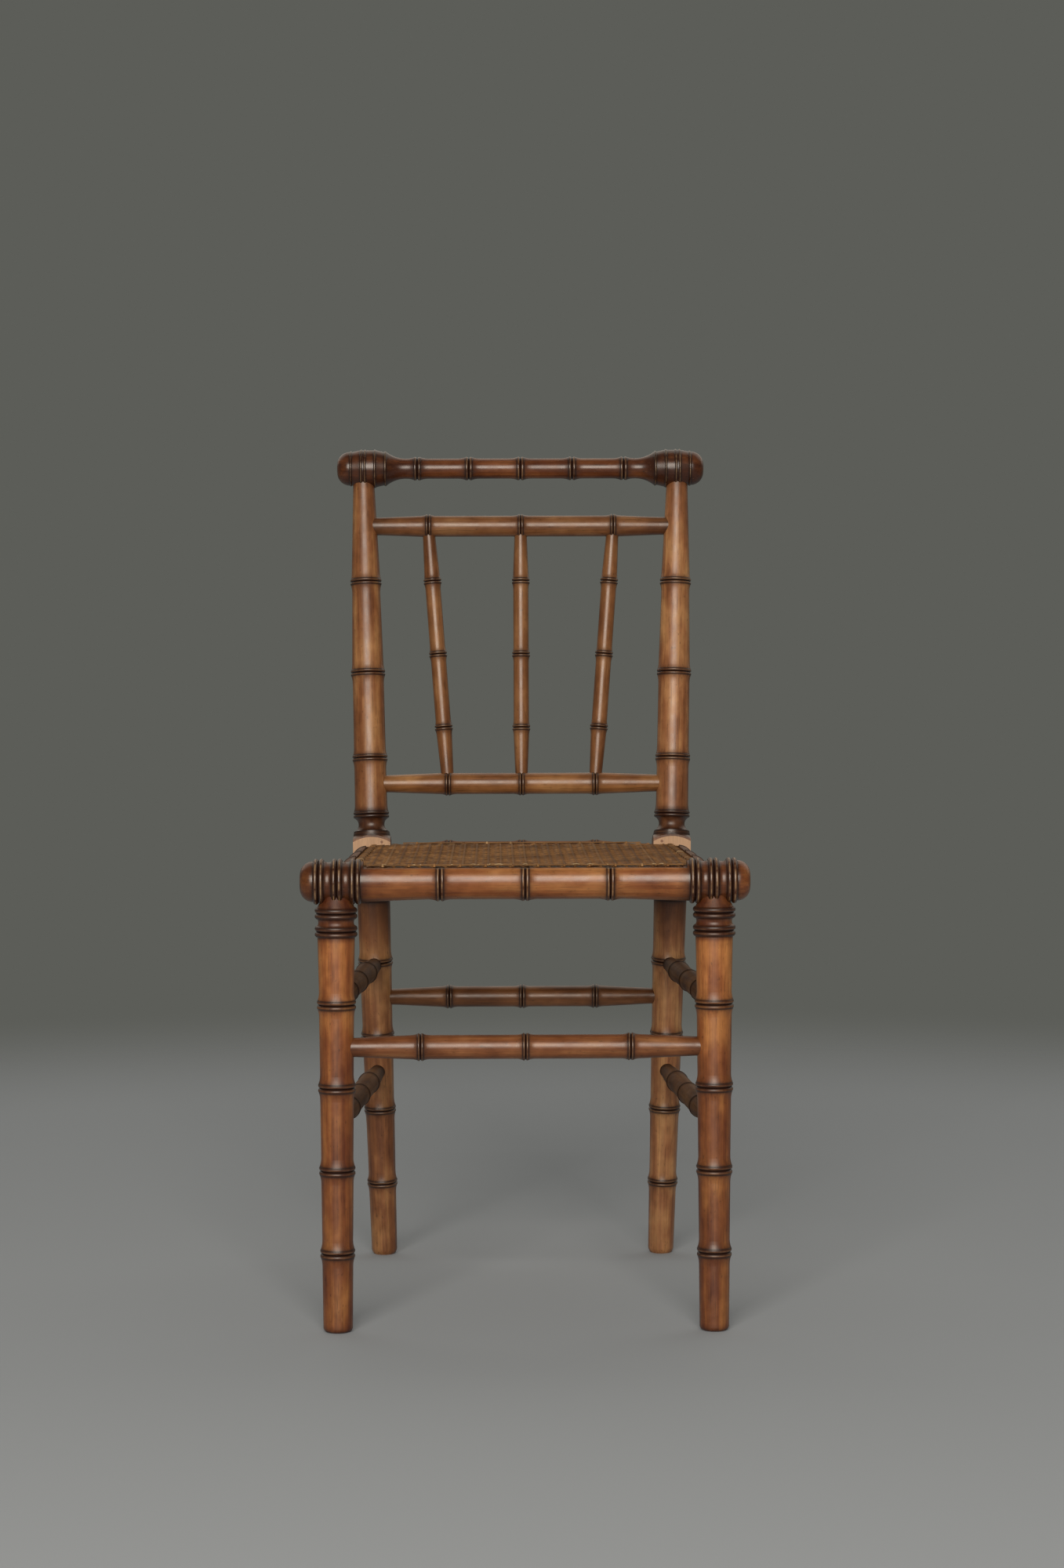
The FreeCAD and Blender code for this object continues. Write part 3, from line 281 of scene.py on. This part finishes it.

# Rear posts
# One long stick each, from the floor to the crest: turned leg, square block at the seat, hollow neck and
# tapered upright. The block's front stayed bare of stain above the cane, where a nail pins the seat
# rail's glued joint. The right post's stain is painted a little lighter than the left one's: painted
# light, for the light that falls more strongly on the right post.

SEAT_LEVEL = 450
SEAT_DEPTH = 373
BLOCK_SPREAD = 161.5
BLOCK_HALF = 20
SEAT_RAIL_LEVEL = SEAT_LEVEL - 10
BLOCK_TOP = SEAT_RAIL_LEVEL + 25
BLOCK_BOTTOM = SEAT_RAIL_LEVEL - 45
BLOCK_BEAD = 4.5
BLOCK_RING = (-BLOCK_BEAD / 2, BLOCK_BEAD, CREST)
ARCH_TOP = BLOCK_TOP - 5
ARCH_BEND = 0.014
NAIL_INWARD = 11
NAIL_LEVEL = 454.5
NAIL_RADIUS = 1.5
CREST_LEVEL = 858
FRONT_LINE = middle_of("front_seat_rail").y / MM
SPLAY = math.tan(math.radians(1.315))
BACK_RAKE = math.tan(math.radians(7))
LEG_RAKE = math.tan(math.radians(5))
UPRIGHT_LEAN = math.sqrt(1 + SPLAY ** 2 + BACK_RAKE ** 2)
UPRIGHT_NODES = (482.5, 543.5, 635.5, 734)
UPRIGHT_BEAD = 3.2
UPRIGHT_RINGS = [((level - BLOCK_TOP) * UPRIGHT_LEAN, UPRIGHT_BEAD, GROOVE) for level in UPRIGHT_NODES]
REAR_LEG_LEAN = math.sqrt(1 + SPLAY ** 2 + LEG_RAKE ** 2)
REAR_LEG_NODES = [80 + 81.3 * count for count in range(4)]
REAR_LEG_BEAD = 3.4
REAR_LEG_RINGS = [((level - BLOCK_BOTTOM) * REAR_LEG_LEAN, REAR_LEG_BEAD, GROOVE) for level in REAR_LEG_NODES]
POST_RINGS = UPRIGHT_RINGS + REAR_LEG_RINGS + [BLOCK_RING]
# The right post's colours are lighter than the left post's: painted light, for the light that falls more
# strongly on it
POST_STAINS_AND_PAINTED_LIGHT = {"left": ("#5a321b", "#7a4d2d", "#9a6e45"), "right": ("#63391f", "#865736", "#a87b50")}
# Below the block the rear leg is painted lighter, most at 60 mm under it: painted light that makes up for the
# seat's shadow on it
POST_TONE_AND_PAINTED_LIGHT = [(-400, 0.9, 0.5), (-390, 1.0, 0.4), (-300, 1.05, 0.2), (-180, 1.1, 0.1), (-60, 1.3, 0.1),
             (-10, 0.85, 0.05), (0, 0.5, 0.05), (20, 0.55, 0.1), (27, 0.98, 0.15), (120, 1.1, 0.15),
             (300, 1.06, 0.15), (372, 1.0, 0.15), (385, 0.6, 0.1)]


def post_place(side, level):
    """The axis of a post at a level: splayed outwards, raked back above the block and below it."""
    above = max(level - BLOCK_TOP, 0)
    below = max(BLOCK_BOTTOM - level, 0)
    setback = SEAT_DEPTH + above * BACK_RAKE + below * LEG_RAKE
    spread = BLOCK_SPREAD + (level - SEAT_RAIL_LEVEL) * SPLAY
    return Vector((side * spread, FRONT_LINE + setback, level)) * MM


def bare_face(tree, middle, lowest):
    """Masks the flat front of a block from a level up to the arch that the lathe left, in millimetres."""
    place = add(tree, "ShaderNodeSeparateXYZ", {0: add(tree, "ShaderNodeTexCoord").outputs["Object"]})
    normal = add(tree, "ShaderNodeNewGeometry").outputs["True Normal"]
    facing = add(tree, "ShaderNodeSeparateXYZ", {0: normal}).outputs["Y"]
    flat = add(tree, "ShaderNodeMath", {0: facing, 1: -0.99999}, operation="LESS_THAN").outputs[0]
    above = add(tree, "ShaderNodeMath", {0: place.outputs["Z"], 1: lowest * MM},
                operation="GREATER_THAN").outputs[0]
    aside = add(tree, "ShaderNodeMath", {0: place.outputs["X"], 1: middle * MM},
                operation="SUBTRACT").outputs[0]
    square = add(tree, "ShaderNodeMath", {0: aside, 1: aside}, operation="MULTIPLY").outputs[0]
    arch = add(tree, "ShaderNodeMath", {0: square, 1: ARCH_BEND / MM, 2: place.outputs["Z"]},
               operation="MULTIPLY_ADD").outputs[0]
    below = add(tree, "ShaderNodeMath", {0: arch, 1: ARCH_TOP * MM}, operation="LESS_THAN").outputs[0]
    for other in (above, below):
        flat = add(tree, "ShaderNodeMath", {0: flat, 1: other}, operation="MULTIPLY").outputs[0]
    return flat


for side, name in ((-1, "left"), (1, "right")):
    node = f"rear_post_{name}"
    tree = new_tree(f"stained_beech_{node}", node)
    block_top = post_place(side, BLOCK_TOP)
    block_bottom = post_place(side, BLOCK_BOTTOM)
    above = lathe_space(tree, block_top, post_place(side, CREST_LEVEL) - block_top)
    below = lathe_space(tree, block_bottom, block_bottom - post_place(side, 0))
    place = add(tree, "ShaderNodeTexCoord").outputs["Object"]
    height = add(tree, "ShaderNodeSeparateXYZ", {0: place}).outputs["Z"]
    upper = add(tree, "ShaderNodeMath", {0: height, 1: SEAT_RAIL_LEVEL * MM},
                operation="GREATER_THAN").outputs[0]
    local = add(tree, "ShaderNodeMix", {0: upper, 4: below, 5: above}, data_type="VECTOR").outputs[1]
    bare = bare_face(tree, side * BLOCK_SPREAD, SEAT_RAIL_LEVEL)
    nail_across = side * (BLOCK_SPREAD - NAIL_INWARD)
    nail = Vector((nail_across, FRONT_LINE + SEAT_DEPTH - BLOCK_HALF, NAIL_LEVEL)) * MM
    from_nail = add(tree, "ShaderNodeVectorMath", {0: place, 1: nail}, operation="DISTANCE").outputs["Value"]
    clear = add(tree, "ShaderNodeMath", {0: from_nail, 1: NAIL_RADIUS * MM},
                operation="GREATER_THAN").outputs[0]
    bare = add(tree, "ShaderNodeMath", {0: bare, 1: clear}, operation="MULTIPLY").outputs[0]
    stained_beech(tree, local, POST_RINGS, POST_STAINS_AND_PAINTED_LIGHT[name], POST_TONE_AND_PAINTED_LIGHT, seed=5 + side, gloss=0.38, bare=bare)

# Side and rear seat rails
# Turned rails with three nodes between the front rail and the blocks, cut down to a ledge on their inner
# half where the cane lies. Their round ends are glued into their sockets, and dust has dulled them.

SIDE_RAIL_SPREAD = 170
SIDE_RAIL_PITCH = 82
REAR_RAIL_PITCH = 79
SEAT_RAIL_BEAD = 3.4
SEAT_RAIL_STAIN = ("#4f2d18", "#6c4326", "#835733")
SEAT_RAIL_TONE = [(-185, 0.6, 0.1), (-160, 0.85, 0.3), (0, 1.0, 0.3), (160, 0.85, 0.3), (185, 0.6, 0.1)]

for side, name in ((-1, "left"), (1, "right")):
    along = (side * (BLOCK_SPREAD - SIDE_RAIL_SPREAD), SEAT_DEPTH, 0)
    stain_stick(f"side_seat_rail_{name}", along, three_rings(SIDE_RAIL_PITCH, SEAT_RAIL_BEAD),
                SEAT_RAIL_STAIN, SEAT_RAIL_TONE, seed=8 + side, gloss=0.5, shine=0.25)
stain_stick("rear_seat_rail", (1, 0, 0), three_rings(REAR_RAIL_PITCH, SEAT_RAIL_BEAD),
            SEAT_RAIL_STAIN, SEAT_RAIL_TONE, seed=11, gloss=0.5, shine=0.25)

# Stretchers
# Thin turned sticks with three nodes and tapered ends: one across the front legs, one across the rear
# legs and two on each side, which have lost their shine. Their ends are glued into blind holes, where
# dirt has darkened them.

STRETCHER_BEAD = 3.1
FRONT_STRETCHER_PITCH = 101.5
REAR_STRETCHER_PITCH = 79
SIDE_STRETCHER_PITCH = 92
SIDE_STRETCHER_LEVELS = {"upper": 320.5, "lower": 203.5}
FRONT_STRETCHER_STAIN = ("#5c3219", "#774829", "#90623d")
REAR_STRETCHER_STAIN = ("#523018", "#6c4324", "#835735")
SIDE_STRETCHER_STAIN = ("#4a2b16", "#674324", "#7f5a37")
STRETCHER_TONE = [(-180, 0.5, 0.1), (-166, 0.7, 0.2), (-146, 0.9, 0.3), (0, 1.0, 0.3), (146, 0.9, 0.3),
                  (166, 0.7, 0.2), (180, 0.5, 0.1)]

stain_stick("front_stretcher", (1, 0, 0), three_rings(FRONT_STRETCHER_PITCH, STRETCHER_BEAD),
            FRONT_STRETCHER_STAIN, STRETCHER_TONE, seed=12)
stain_stick("rear_stretcher", (1, 0, 0), three_rings(REAR_STRETCHER_PITCH, STRETCHER_BEAD),
            REAR_STRETCHER_STAIN, STRETCHER_TONE, seed=13)
for side, name in ((-1, "left"), (1, "right")):
    for height, level in SIDE_STRETCHER_LEVELS.items():
        front = Vector((middle_of(f"front_leg_{name}").x, FRONT_LINE * MM, level * MM))
        stain_stick(f"{height}_side_stretcher_{name}", post_place(side, level) - front,
                    three_rings(SIDE_STRETCHER_PITCH, STRETCHER_BEAD), SIDE_STRETCHER_STAIN, STRETCHER_TONE,
                    seed=level / 20 + side, gloss=0.6, shine=0.15)

# Crest rail
# The top rail, the darkest piece: a turning with five nodes and a ringed beehive knob on each end, bored
# from below for the posts' tenons. Hands that lift the chair have polished it.

crest_low, crest_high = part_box("crest_rail")
CREST_HALF = (crest_high.x - crest_low.x) / 2 / MM
CREST_PITCH = 56.2
CREST_BEAD = 4.0
CREST_RINGS = [(CREST_PITCH * count, CREST_BEAD, GROOVE) for count in range(-2, 3)]
KNOB_BEAD = 2.8
KNOB_RINGS = [(side * (CREST_HALF - from_end), KNOB_BEAD, CREST)
              for side in (-1, 1) for from_end in (52.5, 41.2, 30.4, 26.2, 15)]
CREST_STAIN = ("#4a2411", "#6a3b1e", "#875632")
CREST_TONE = [(-200, 0.75, 0.2), (-186, 0.7, 0.5), (-144, 0.55, 0.5), (-122, 0.8, 0.4), (0, 1.0, 0.4),
              (122, 0.8, 0.4), (144, 0.55, 0.5), (186, 0.7, 0.5), (200, 0.75, 0.2)]

stain_stick("crest_rail", (1, 0, 0), CREST_RINGS + KNOB_RINGS, CREST_STAIN, CREST_TONE, seed=17, gloss=0.3)

# Back rails
# Two turned rails between the posts, with a node wherever a spindle stands. Their tapered ends are glued
# into the posts.

BACK_BEAD = 2.9
UPPER_BACK_PITCH = 100.5
LOWER_BACK_PITCH = 79.5
UPPER_BACK_STAIN = ("#5a341b", "#744b2c", "#8a6340")
LOWER_BACK_STAIN = ("#683f21", "#845832", "#9d7247")
BACK_RAIL_TONE = [(-162, 0.5, 0.1), (-150, 0.75, 0.2), (-130, 0.95, 0.3), (0, 1.0, 0.3), (130, 0.95, 0.3),
                  (150, 0.75, 0.2), (162, 0.5, 0.1)]

stain_stick("upper_back_rail", (1, 0, 0), three_rings(UPPER_BACK_PITCH, BACK_BEAD),
            UPPER_BACK_STAIN, BACK_RAIL_TONE, seed=21)
stain_stick("lower_back_rail", (1, 0, 0), three_rings(LOWER_BACK_PITCH, BACK_BEAD),
            LOWER_BACK_STAIN, BACK_RAIL_TONE, seed=23)

# Back spindles
# Three thin turned sticks, fanned from the lower back rail to the upper one, each with three nodes and
# with both ends glued into the rails' own nodes.

UPPER_BACK_LEVEL = 795
LOWER_BACK_LEVEL = 516
SPINDLE_RISE = UPPER_BACK_LEVEL - LOWER_BACK_LEVEL
SPINDLE_FAN = UPPER_BACK_PITCH - LOWER_BACK_PITCH
SPINDLE_PITCH = 80
SPINDLE_STAIN = ("#643c21", "#7e5331", "#966c46")
SPINDLE_TONE = [(-141, 0.5, 0.1), (-130, 0.8, 0.2), (-100, 0.95, 0.3), (100, 0.95, 0.3), (130, 0.8, 0.2),
                (141, 0.5, 0.1)]

for step, name in ((-1, "left"), (0, "centre"), (1, "right")):
    along = (step * SPINDLE_FAN, SPINDLE_RISE * BACK_RAKE, SPINDLE_RISE)
    stain_stick(f"spindle_{name}", along, three_rings(SPINDLE_PITCH, BACK_BEAD),
                SPINDLE_STAIN, SPINDLE_TONE, seed=26 + step)

# Caning pegs
# Small split pegs of raw beech, driven down the drilled holes to hold the ends of the strands. The cane
# hides them.

# Raw split beech: the eye gets pale and brown fibres side by side, drawn about 1 mm wide so that they show
tree = new_tree("raw_beech_pegs", "caning_pegs")
local = lathe_space(tree, (0, 0, 0), (0, 0, 1))
peg_fibres = grain(tree, local, seed=31, width=1.1, length=8, detail=3.0)
peg_colour = add(tree, "ShaderNodeValToRGB", {0: peg_fibres},
                 stops=((0.35, linear("#8d6a47")), (0.65, linear("#c29c70")))).outputs[0]
peg_surface = add(tree, "ShaderNodeBsdfPrincipled",
                  {"Base Color": peg_colour, "Roughness": 0.75, "IOR": 1.5}).outputs[0]
add(tree, "ShaderNodeOutputMaterial", {0: peg_surface})

# Cane seat
# Six-way weave of split rattan: pairs of strands from front to back and from side to side, and two
# slanting sets that pass over one pair and under the next. It is pulled tight over the ledges and has
# sagged a little.

CANE_PITCH = 12.5
COLUMNS = range(-13, 14)
ROWS = range(-2, 27)
SLANTS = range(-17, 43)
FIRST_ROW = 34
PAIR_HALF = 1.6
UNEVEN = 0.25
STRAND_WIDTH = 2.8
STRAND_THICK = 0.55
STEP = 2.5
SAG = 2.2
WEAVE_HEIGHT = SEAT_LEVEL + 1.3
# How far each layer of strands lies above the weave's middle, and how far it rises and falls
UNDER_LIFT = -0.5
OVER_LIFT = 0.2
COLUMN_RIPPLE = 0.12
ROW_LIFT = -0.17
ROW_RIPPLE = 0.1
FIRST_SLANT_RIPPLE = 0.56
SECOND_SLANT_LIFT = -0.3
SECOND_SLANT_RIPPLE = 0.5
# The edges of the weave, narrower between the front rail's end rings and between the rear posts' blocks
FRONT_EDGE = 3.5
REAR_EDGE = 370
SIDE_EDGE = 166
END_RINGS_DEPTH = 24
HALF_BETWEEN_END_RINGS = 152
BLOCKS_DEPTH = 351
HALF_BETWEEN_BLOCKS = 138
LEDGE_WIDTH = 4.5
# The rind's flat top, as shares of a strand's width and thickness
RIND_HALF = 0.28
RIND_RISE = 0.42
# Broken threads: where they start behind the front edge and above the weave, and how they lean out and up
THREADS = 18
THREAD_WIDTH = 1.2
THREAD_THICK = 0.4
THREAD_ROOT = 2
THREAD_LIFT = 0.9
THREAD_OUT = 0.5
THREAD_UP = 0.35
GRIME_PATCH = 40
RIND_LINE = 1
STRAND_COLOURS = ((0.0, "#50341b"), (0.4, "#6f4b2a"), (0.8, "#916a3f"), (1.0, "#d3ba90"))


def half_width(setback):
    """How far the weave reaches to each side, at a distance behind the front rail."""
    if setback < END_RINGS_DEPTH:
        return HALF_BETWEEN_END_RINGS
    if setback > BLOCKS_DEPTH:
        return HALF_BETWEEN_BLOCKS
    return SIDE_RAIL_SPREAD - LEDGE_WIDTH - (SIDE_RAIL_SPREAD - BLOCK_SPREAD) * setback / SEAT_DEPTH


def strand_section(width, thick):
    """Across a strand: flat underneath, with the rind sloping away to both edges on top."""
    return [(-0.5 * width, -0.5 * thick), (-RIND_HALF * width, RIND_RISE * thick),
            (RIND_HALF * width, RIND_RISE * thick), (0.5 * width, -0.5 * thick)]


def sweep(route, width, thick, points, faces, shades, shade):
    """Lays a strand along a route of points in millimetres, keeping its width level."""
    section = strand_section(width, thick)
    first = len(points)
    for count, place in enumerate(route):
        ahead = route[min(count + 1, len(route) - 1)] - route[max(count - 1, 0)]
        across = Vector((ahead.y, -ahead.x, 0)).normalized()
        upward = across.cross(ahead).normalized()
        if upward.z < 0:
            upward.negate()
        for aside, rise in section:
            points.append((place + across * aside + upward * rise) * MM)
            shades.append(shade)
    size = len(section)
    for count in range(len(route) - 1):
        for edge in range(size):
            lower = first + count * size + edge
            beside = first + count * size + (edge + 1) % size
            faces.append((lower, beside, beside + size, lower + size))
    faces.append(tuple(first + edge for edge in reversed(range(size))))
    faces.append(tuple(first + (len(route) - 1) * size + edge for edge in range(size)))


def strands_mesh(name, points, faces, shades):
    """One piece from swept strands, each strand with a shade of its own."""
    mesh = bpy.data.meshes.new(name)
    mesh.from_pydata(points, [], faces)
    mesh.attributes.new("strand_shade", "FLOAT", "POINT").data.foreach_set("value", shades)
    mesh.update()
    piece = bpy.data.objects.new(name, mesh)
    bpy.context.scene.collection.objects.link(piece)
    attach(piece, "root")
    return piece


def weave_point(across, setback, lift):
    """A point of the weave: lift is above its middle layer, less the sag towards the seat's middle."""
    side = min(abs(across) / half_width(setback), 1)
    depth = min(abs(setback - SEAT_DEPTH / 2) / (SEAT_DEPTH / 2), 1)
    sag = SAG * (1 - side ** 2) * (1 - depth ** 2)
    return Vector((across, FRONT_LINE + setback, WEAVE_HEIGHT + lift - sag))


def ripple(run):
    """The rise and fall of a strand over and under its neighbours, between 1 and -1."""
    return math.cos(2 * math.pi * run / CANE_PITCH)


rng = random.Random(7)
points, faces, shades = [], [], []


def lay(path):
    """Lays a strand where its path, (across, setback, lift), lies on the seat."""
    inside = [weave_point(*place) for place in path
              if FRONT_EDGE <= place[1] <= REAR_EDGE and abs(place[0]) <= half_width(place[1])]
    if len(inside) > 3:
        width = STRAND_WIDTH * rng.uniform(0.9, 1.05)
        sweep(inside, width, STRAND_THICK, points, faces, shades, rng.uniform(0.2, 0.8))


# From front to back, one strand of each pair lies under the strands from side to side and one over them
setbacks = np.arange(FRONT_EDGE, REAR_EDGE, STEP)
for column in COLUMNS:
    for offset, lift in ((-PAIR_HALF, UNDER_LIFT), (PAIR_HALF, OVER_LIFT)):
        across = column * CANE_PITCH + offset + rng.uniform(-UNEVEN, UNEVEN)
        lay([(across, setback, lift - COLUMN_RIPPLE * ripple(setback - FIRST_ROW)) for setback in setbacks])
# From side to side, between those two
breadths = np.arange(-SIDE_EDGE, SIDE_EDGE + 0.1, STEP)
for row in ROWS:
    for offset in (-PAIR_HALF, PAIR_HALF):
        setback = FIRST_ROW + row * CANE_PITCH + offset + rng.uniform(-UNEVEN, UNEVEN)
        lay([(across, setback, ROW_LIFT + ROW_RIPPLE * ripple(across)) for across in breadths])
# Slanting, the first set over the pairs from front to back and under the others, the second the reverse
for line in SLANTS:
    start = (line + 0.5) * CANE_PITCH + FIRST_ROW
    lay([(across, start + across, FIRST_SLANT_RIPPLE * ripple(across)) for across in breadths])
    lay([(across, start - across, SECOND_SLANT_LIFT - SECOND_SLANT_RIPPLE * ripple(across))
         for across in breadths])
# Broken threads that stand up along the front edge and bend over towards their tips
for thread in range(THREADS):
    across = rng.uniform(-140, 150)
    lean = rng.uniform(-1.2, 1.2)
    length = rng.uniform(4, 10)
    route = []
    for share in (0, 0.35, 0.7, 1):
        run = length * share
        setback = FRONT_EDGE + THREAD_ROOT - THREAD_OUT * run
        lift = THREAD_LIFT + THREAD_UP * run * (1.3 - share)
        route.append(weave_point(across + lean * run, setback, lift))
    sweep(route, THREAD_WIDTH, THREAD_THICK, points, faces, shades, rng.uniform(0.9, 1))
weave = strands_mesh("cane_weave", points, faces, shades)
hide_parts("cane_seat")

# Aged rattan cane, split and shaved: the eye gets strands of different browns, darker where grime has
# settled in patches of about 40 mm, with a dull rind and straw-coloured broken ends. The fine lines of
# the rind, about 0.5 mm on real cane, are drawn at 1 mm so that they show
tree = new_tree("aged_rattan_cane")
place = add(tree, "ShaderNodeTexCoord").outputs["Object"]
shade = add(tree, "ShaderNodeAttribute", attribute_name="strand_shade").outputs["Fac"]
strand_colour = add(tree, "ShaderNodeValToRGB", {0: shade},
                    stops=[(at, linear(colour)) for at, colour in STRAND_COLOURS]).outputs[0]
grime_at = add(tree, "ShaderNodeMapping",
               {"Vector": place, "Scale": [1 / (GRIME_PATCH * MM)] * 3}).outputs[0]
grime = add(tree, "ShaderNodeTexNoise", {"Vector": grime_at, "Scale": 1.0, "Detail": 4.0}).outputs[0]
grime_shade = add(tree, "ShaderNodeMapRange", {0: grime, 1: 0.3, 2: 0.7, 3: 0.62, 4: 1.2}).outputs[0]
rind_at = add(tree, "ShaderNodeMapping",
              {"Vector": place, "Scale": [1 / (RIND_LINE * MM)] * 3}).outputs[0]
rind = add(tree, "ShaderNodeTexNoise", {"Vector": rind_at, "Scale": 1.0, "Detail": 2.0}).outputs[0]
rind_shade = add(tree, "ShaderNodeMapRange", {0: rind, 1: 0.3, 2: 0.7, 3: 0.82, 4: 1.12}).outputs[0]
both = add(tree, "ShaderNodeMath", {0: grime_shade, 1: rind_shade}, operation="MULTIPLY").outputs[0]
cane_colour = add(tree, "ShaderNodeVectorMath", {0: strand_colour, "Scale": both},
                  operation="SCALE").outputs[0]
cane_bump = add(tree, "ShaderNodeBump", {"Strength": 0.4, "Distance": 0.1 * MM, "Height": rind}).outputs[0]
cane_surface = add(tree, "ShaderNodeBsdfPrincipled",
                   {"Base Color": cane_colour, "Roughness": 0.7, "IOR": 1.5, "Specular IOR Level": 0.25,
                    "Normal": cane_bump}).outputs[0]
add(tree, "ShaderNodeOutputMaterial", {0: cane_surface})
aged_cane = bpy.data.materials["aged_rattan_cane"]
weave.data.materials.append(aged_cane)

# Binder canes
# A wider strip of the same cane laid over each row of holes, and tied down through every second hole with
# a loop of strand.

BINDER_WIDTH = 6
BINDER_THICK = 0.9
BINDER_RISE = SEAT_LEVEL + 2.6
BINDER_END_MARGIN = 3
BINDER_STEP = 3
BINDER_SHADE = 0.6
# The strip sways from side to side and up and down, over so many millimetres for each radian
SWAY = 0.3
SWAY_RUN = 23
WAVE = 0.12
WAVE_RUN = 4
LOOP_WIDTH = 2.2
LOOP_THICK = 0.5
LOOP_UNEVEN = 0.6
LOOP = [(-4.2, 0.8), (-3.6, 2.4), (-2.4, 3.25), (0, 3.45), (2.4, 3.25), (3.6, 2.4), (4.2, 0.8)]

for name in ("front", "rear", "left", "right"):
    node = f"cane_binder_{name}"
    low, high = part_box(node)
    middle = (low + high) / 2 / MM
    if name in ("front", "rear"):
        along = Vector((1, 0, 0))
        half = (high.x - low.x) / 2 / MM
    else:
        side = -1 if name == "left" else 1
        along = Vector((side * (BLOCK_SPREAD - SIDE_RAIL_SPREAD), SEAT_DEPTH, 0)).normalized()
        half = (high.y - low.y) / 2 / MM
    across = Vector((along.y, -along.x, 0))
    points, faces, shades = [], [], []
    count = int(half * 2 / BINDER_STEP)
    route = []
    for place in range(count + 1):
        run = half * (2 * place / count - 1)
        sway = across * SWAY * math.sin(run / SWAY_RUN)
        wave = Vector((0, 0, WAVE * math.sin(run / WAVE_RUN)))
        route.append(Vector((middle.x, middle.y, BINDER_RISE)) + along * run + sway + wave)
    sweep(route, BINDER_WIDTH, BINDER_THICK, points, faces, shades, BINDER_SHADE)
    holes = round((half * 2 - 2 * BINDER_END_MARGIN) / CANE_PITCH)
    for hole in range(1, holes, 2):
        run = (hole - holes / 2) * CANE_PITCH + rng.uniform(-LOOP_UNEVEN, LOOP_UNEVEN)
        centre = Vector((middle.x, middle.y, SEAT_LEVEL)) + along * run
        route = [centre + across * aside + Vector((0, 0, rise)) for aside, rise in LOOP]
        sweep(route, LOOP_WIDTH, LOOP_THICK, points, faces, shades, rng.uniform(0.4, 0.9))
    binder = strands_mesh(f"cane_binder_strip_{name}", points, faces, shades)
    binder.data.materials.append(aged_cane)
    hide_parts(node)

# Floor, light and camera
# A plain pale floor that fades into a grey backdrop, a large soft light in front, a much larger and
# dimmer one high up behind, and the camera where the photograph was taken from.

FLOOR_REACH = 2.7
FLOOR_FADE = 1.4
bpy.ops.mesh.primitive_circle_add(vertices=128, radius=FLOOR_REACH, fill_type="NGON", location=(0, 0, 0))
floor = bpy.context.object
floor.name = "floor"
tree = new_tree("pale_floor")
place = add(tree, "ShaderNodeTexCoord").outputs["Object"]
away = add(tree, "ShaderNodeVectorMath", {0: place}, operation="LENGTH").outputs["Value"]
fade = add(tree, "ShaderNodeMapRange", {0: away, 1: FLOOR_FADE, 2: FLOOR_REACH},
           interpolation_type="SMOOTHSTEP").outputs[0]
paint = add(tree, "ShaderNodeBsdfPrincipled",
            {"Base Color": linear("#a0a6ad"), "Roughness": 0.9, "Specular IOR Level": 0.0}).outputs[0]
clear = add(tree, "ShaderNodeBsdfTransparent").outputs[0]
mixed = add(tree, "ShaderNodeMixShader", {0: fade, 1: paint, 2: clear}).outputs[0]
add(tree, "ShaderNodeOutputMaterial", {0: mixed})
floor.data.materials.append(bpy.data.materials["pale_floor"])

scene = bpy.context.scene
world = bpy.data.worlds.new("grey_backdrop")
world.use_nodes = True
scene.world = world
world.node_tree.nodes.clear()
backdrop = add(world.node_tree, "ShaderNodeBackground",
               {"Color": linear("#5c5d58"), "Strength": 1.0}).outputs[0]
add(world.node_tree, "ShaderNodeOutputWorld", {0: backdrop})

LAMP_WARMTH = (1.0, 0.91, 0.80)


def soft_light(name, place, target, width, height, power):
    """A rectangular soft light, its size and place in metres, turned towards its target."""
    lamp = bpy.data.lights.new(name, "AREA")
    lamp.shape = "RECTANGLE"
    lamp.size = width
    lamp.size_y = height
    lamp.energy = power
    lamp.color = LAMP_WARMTH
    light = bpy.data.objects.new(name, lamp)
    light.location = place
    light.rotation_euler = (Vector(target) - Vector(place)).to_track_quat("-Z", "Y").to_euler()
    scene.collection.objects.link(light)


soft_light("front_softbox", place=(-0.4, -5.0, 2.2), target=(0, 0, 0.45), width=3.4, height=2.8, power=296)
soft_light("rear_softbox", place=(0.6, 6.0, 6.0), target=(0, 0, 0.4), width=18.0, height=9.0, power=350)

PHOTO_HEIGHT = 2000
FOCAL_PIXELS = 4089.05
SENSOR_HEIGHT = 36
EYE = Vector((-29.12, -3296.87, 656.03)) * MM
PITCH, YAW, ROLL = (math.radians(angle) for angle in (2.325, -0.668, -0.157))
right = Vector((math.cos(YAW), math.sin(YAW), 0))
ahead = Vector((-math.sin(YAW), math.cos(YAW), 0))
forward = ahead * math.cos(PITCH) - Vector((0, 0, math.sin(PITCH)))
upward = ahead * math.sin(PITCH) + Vector((0, 0, math.cos(PITCH)))
right, upward = (right * math.cos(ROLL) + upward * math.sin(ROLL),
                 upward * math.cos(ROLL) - right * math.sin(ROLL))
lens = bpy.data.cameras.new("camera")
lens.sensor_fit = "VERTICAL"
lens.sensor_height = SENSOR_HEIGHT
lens.lens = FOCAL_PIXELS / PHOTO_HEIGHT * SENSOR_HEIGHT
camera = bpy.data.objects.new("camera", lens)
camera.matrix_world = Matrix.Translation(EYE) @ Matrix((right, upward, -forward)).transposed().to_4x4()
scene.collection.objects.link(camera)
scene.camera = camera
scene.view_settings.view_transform = "Standard"
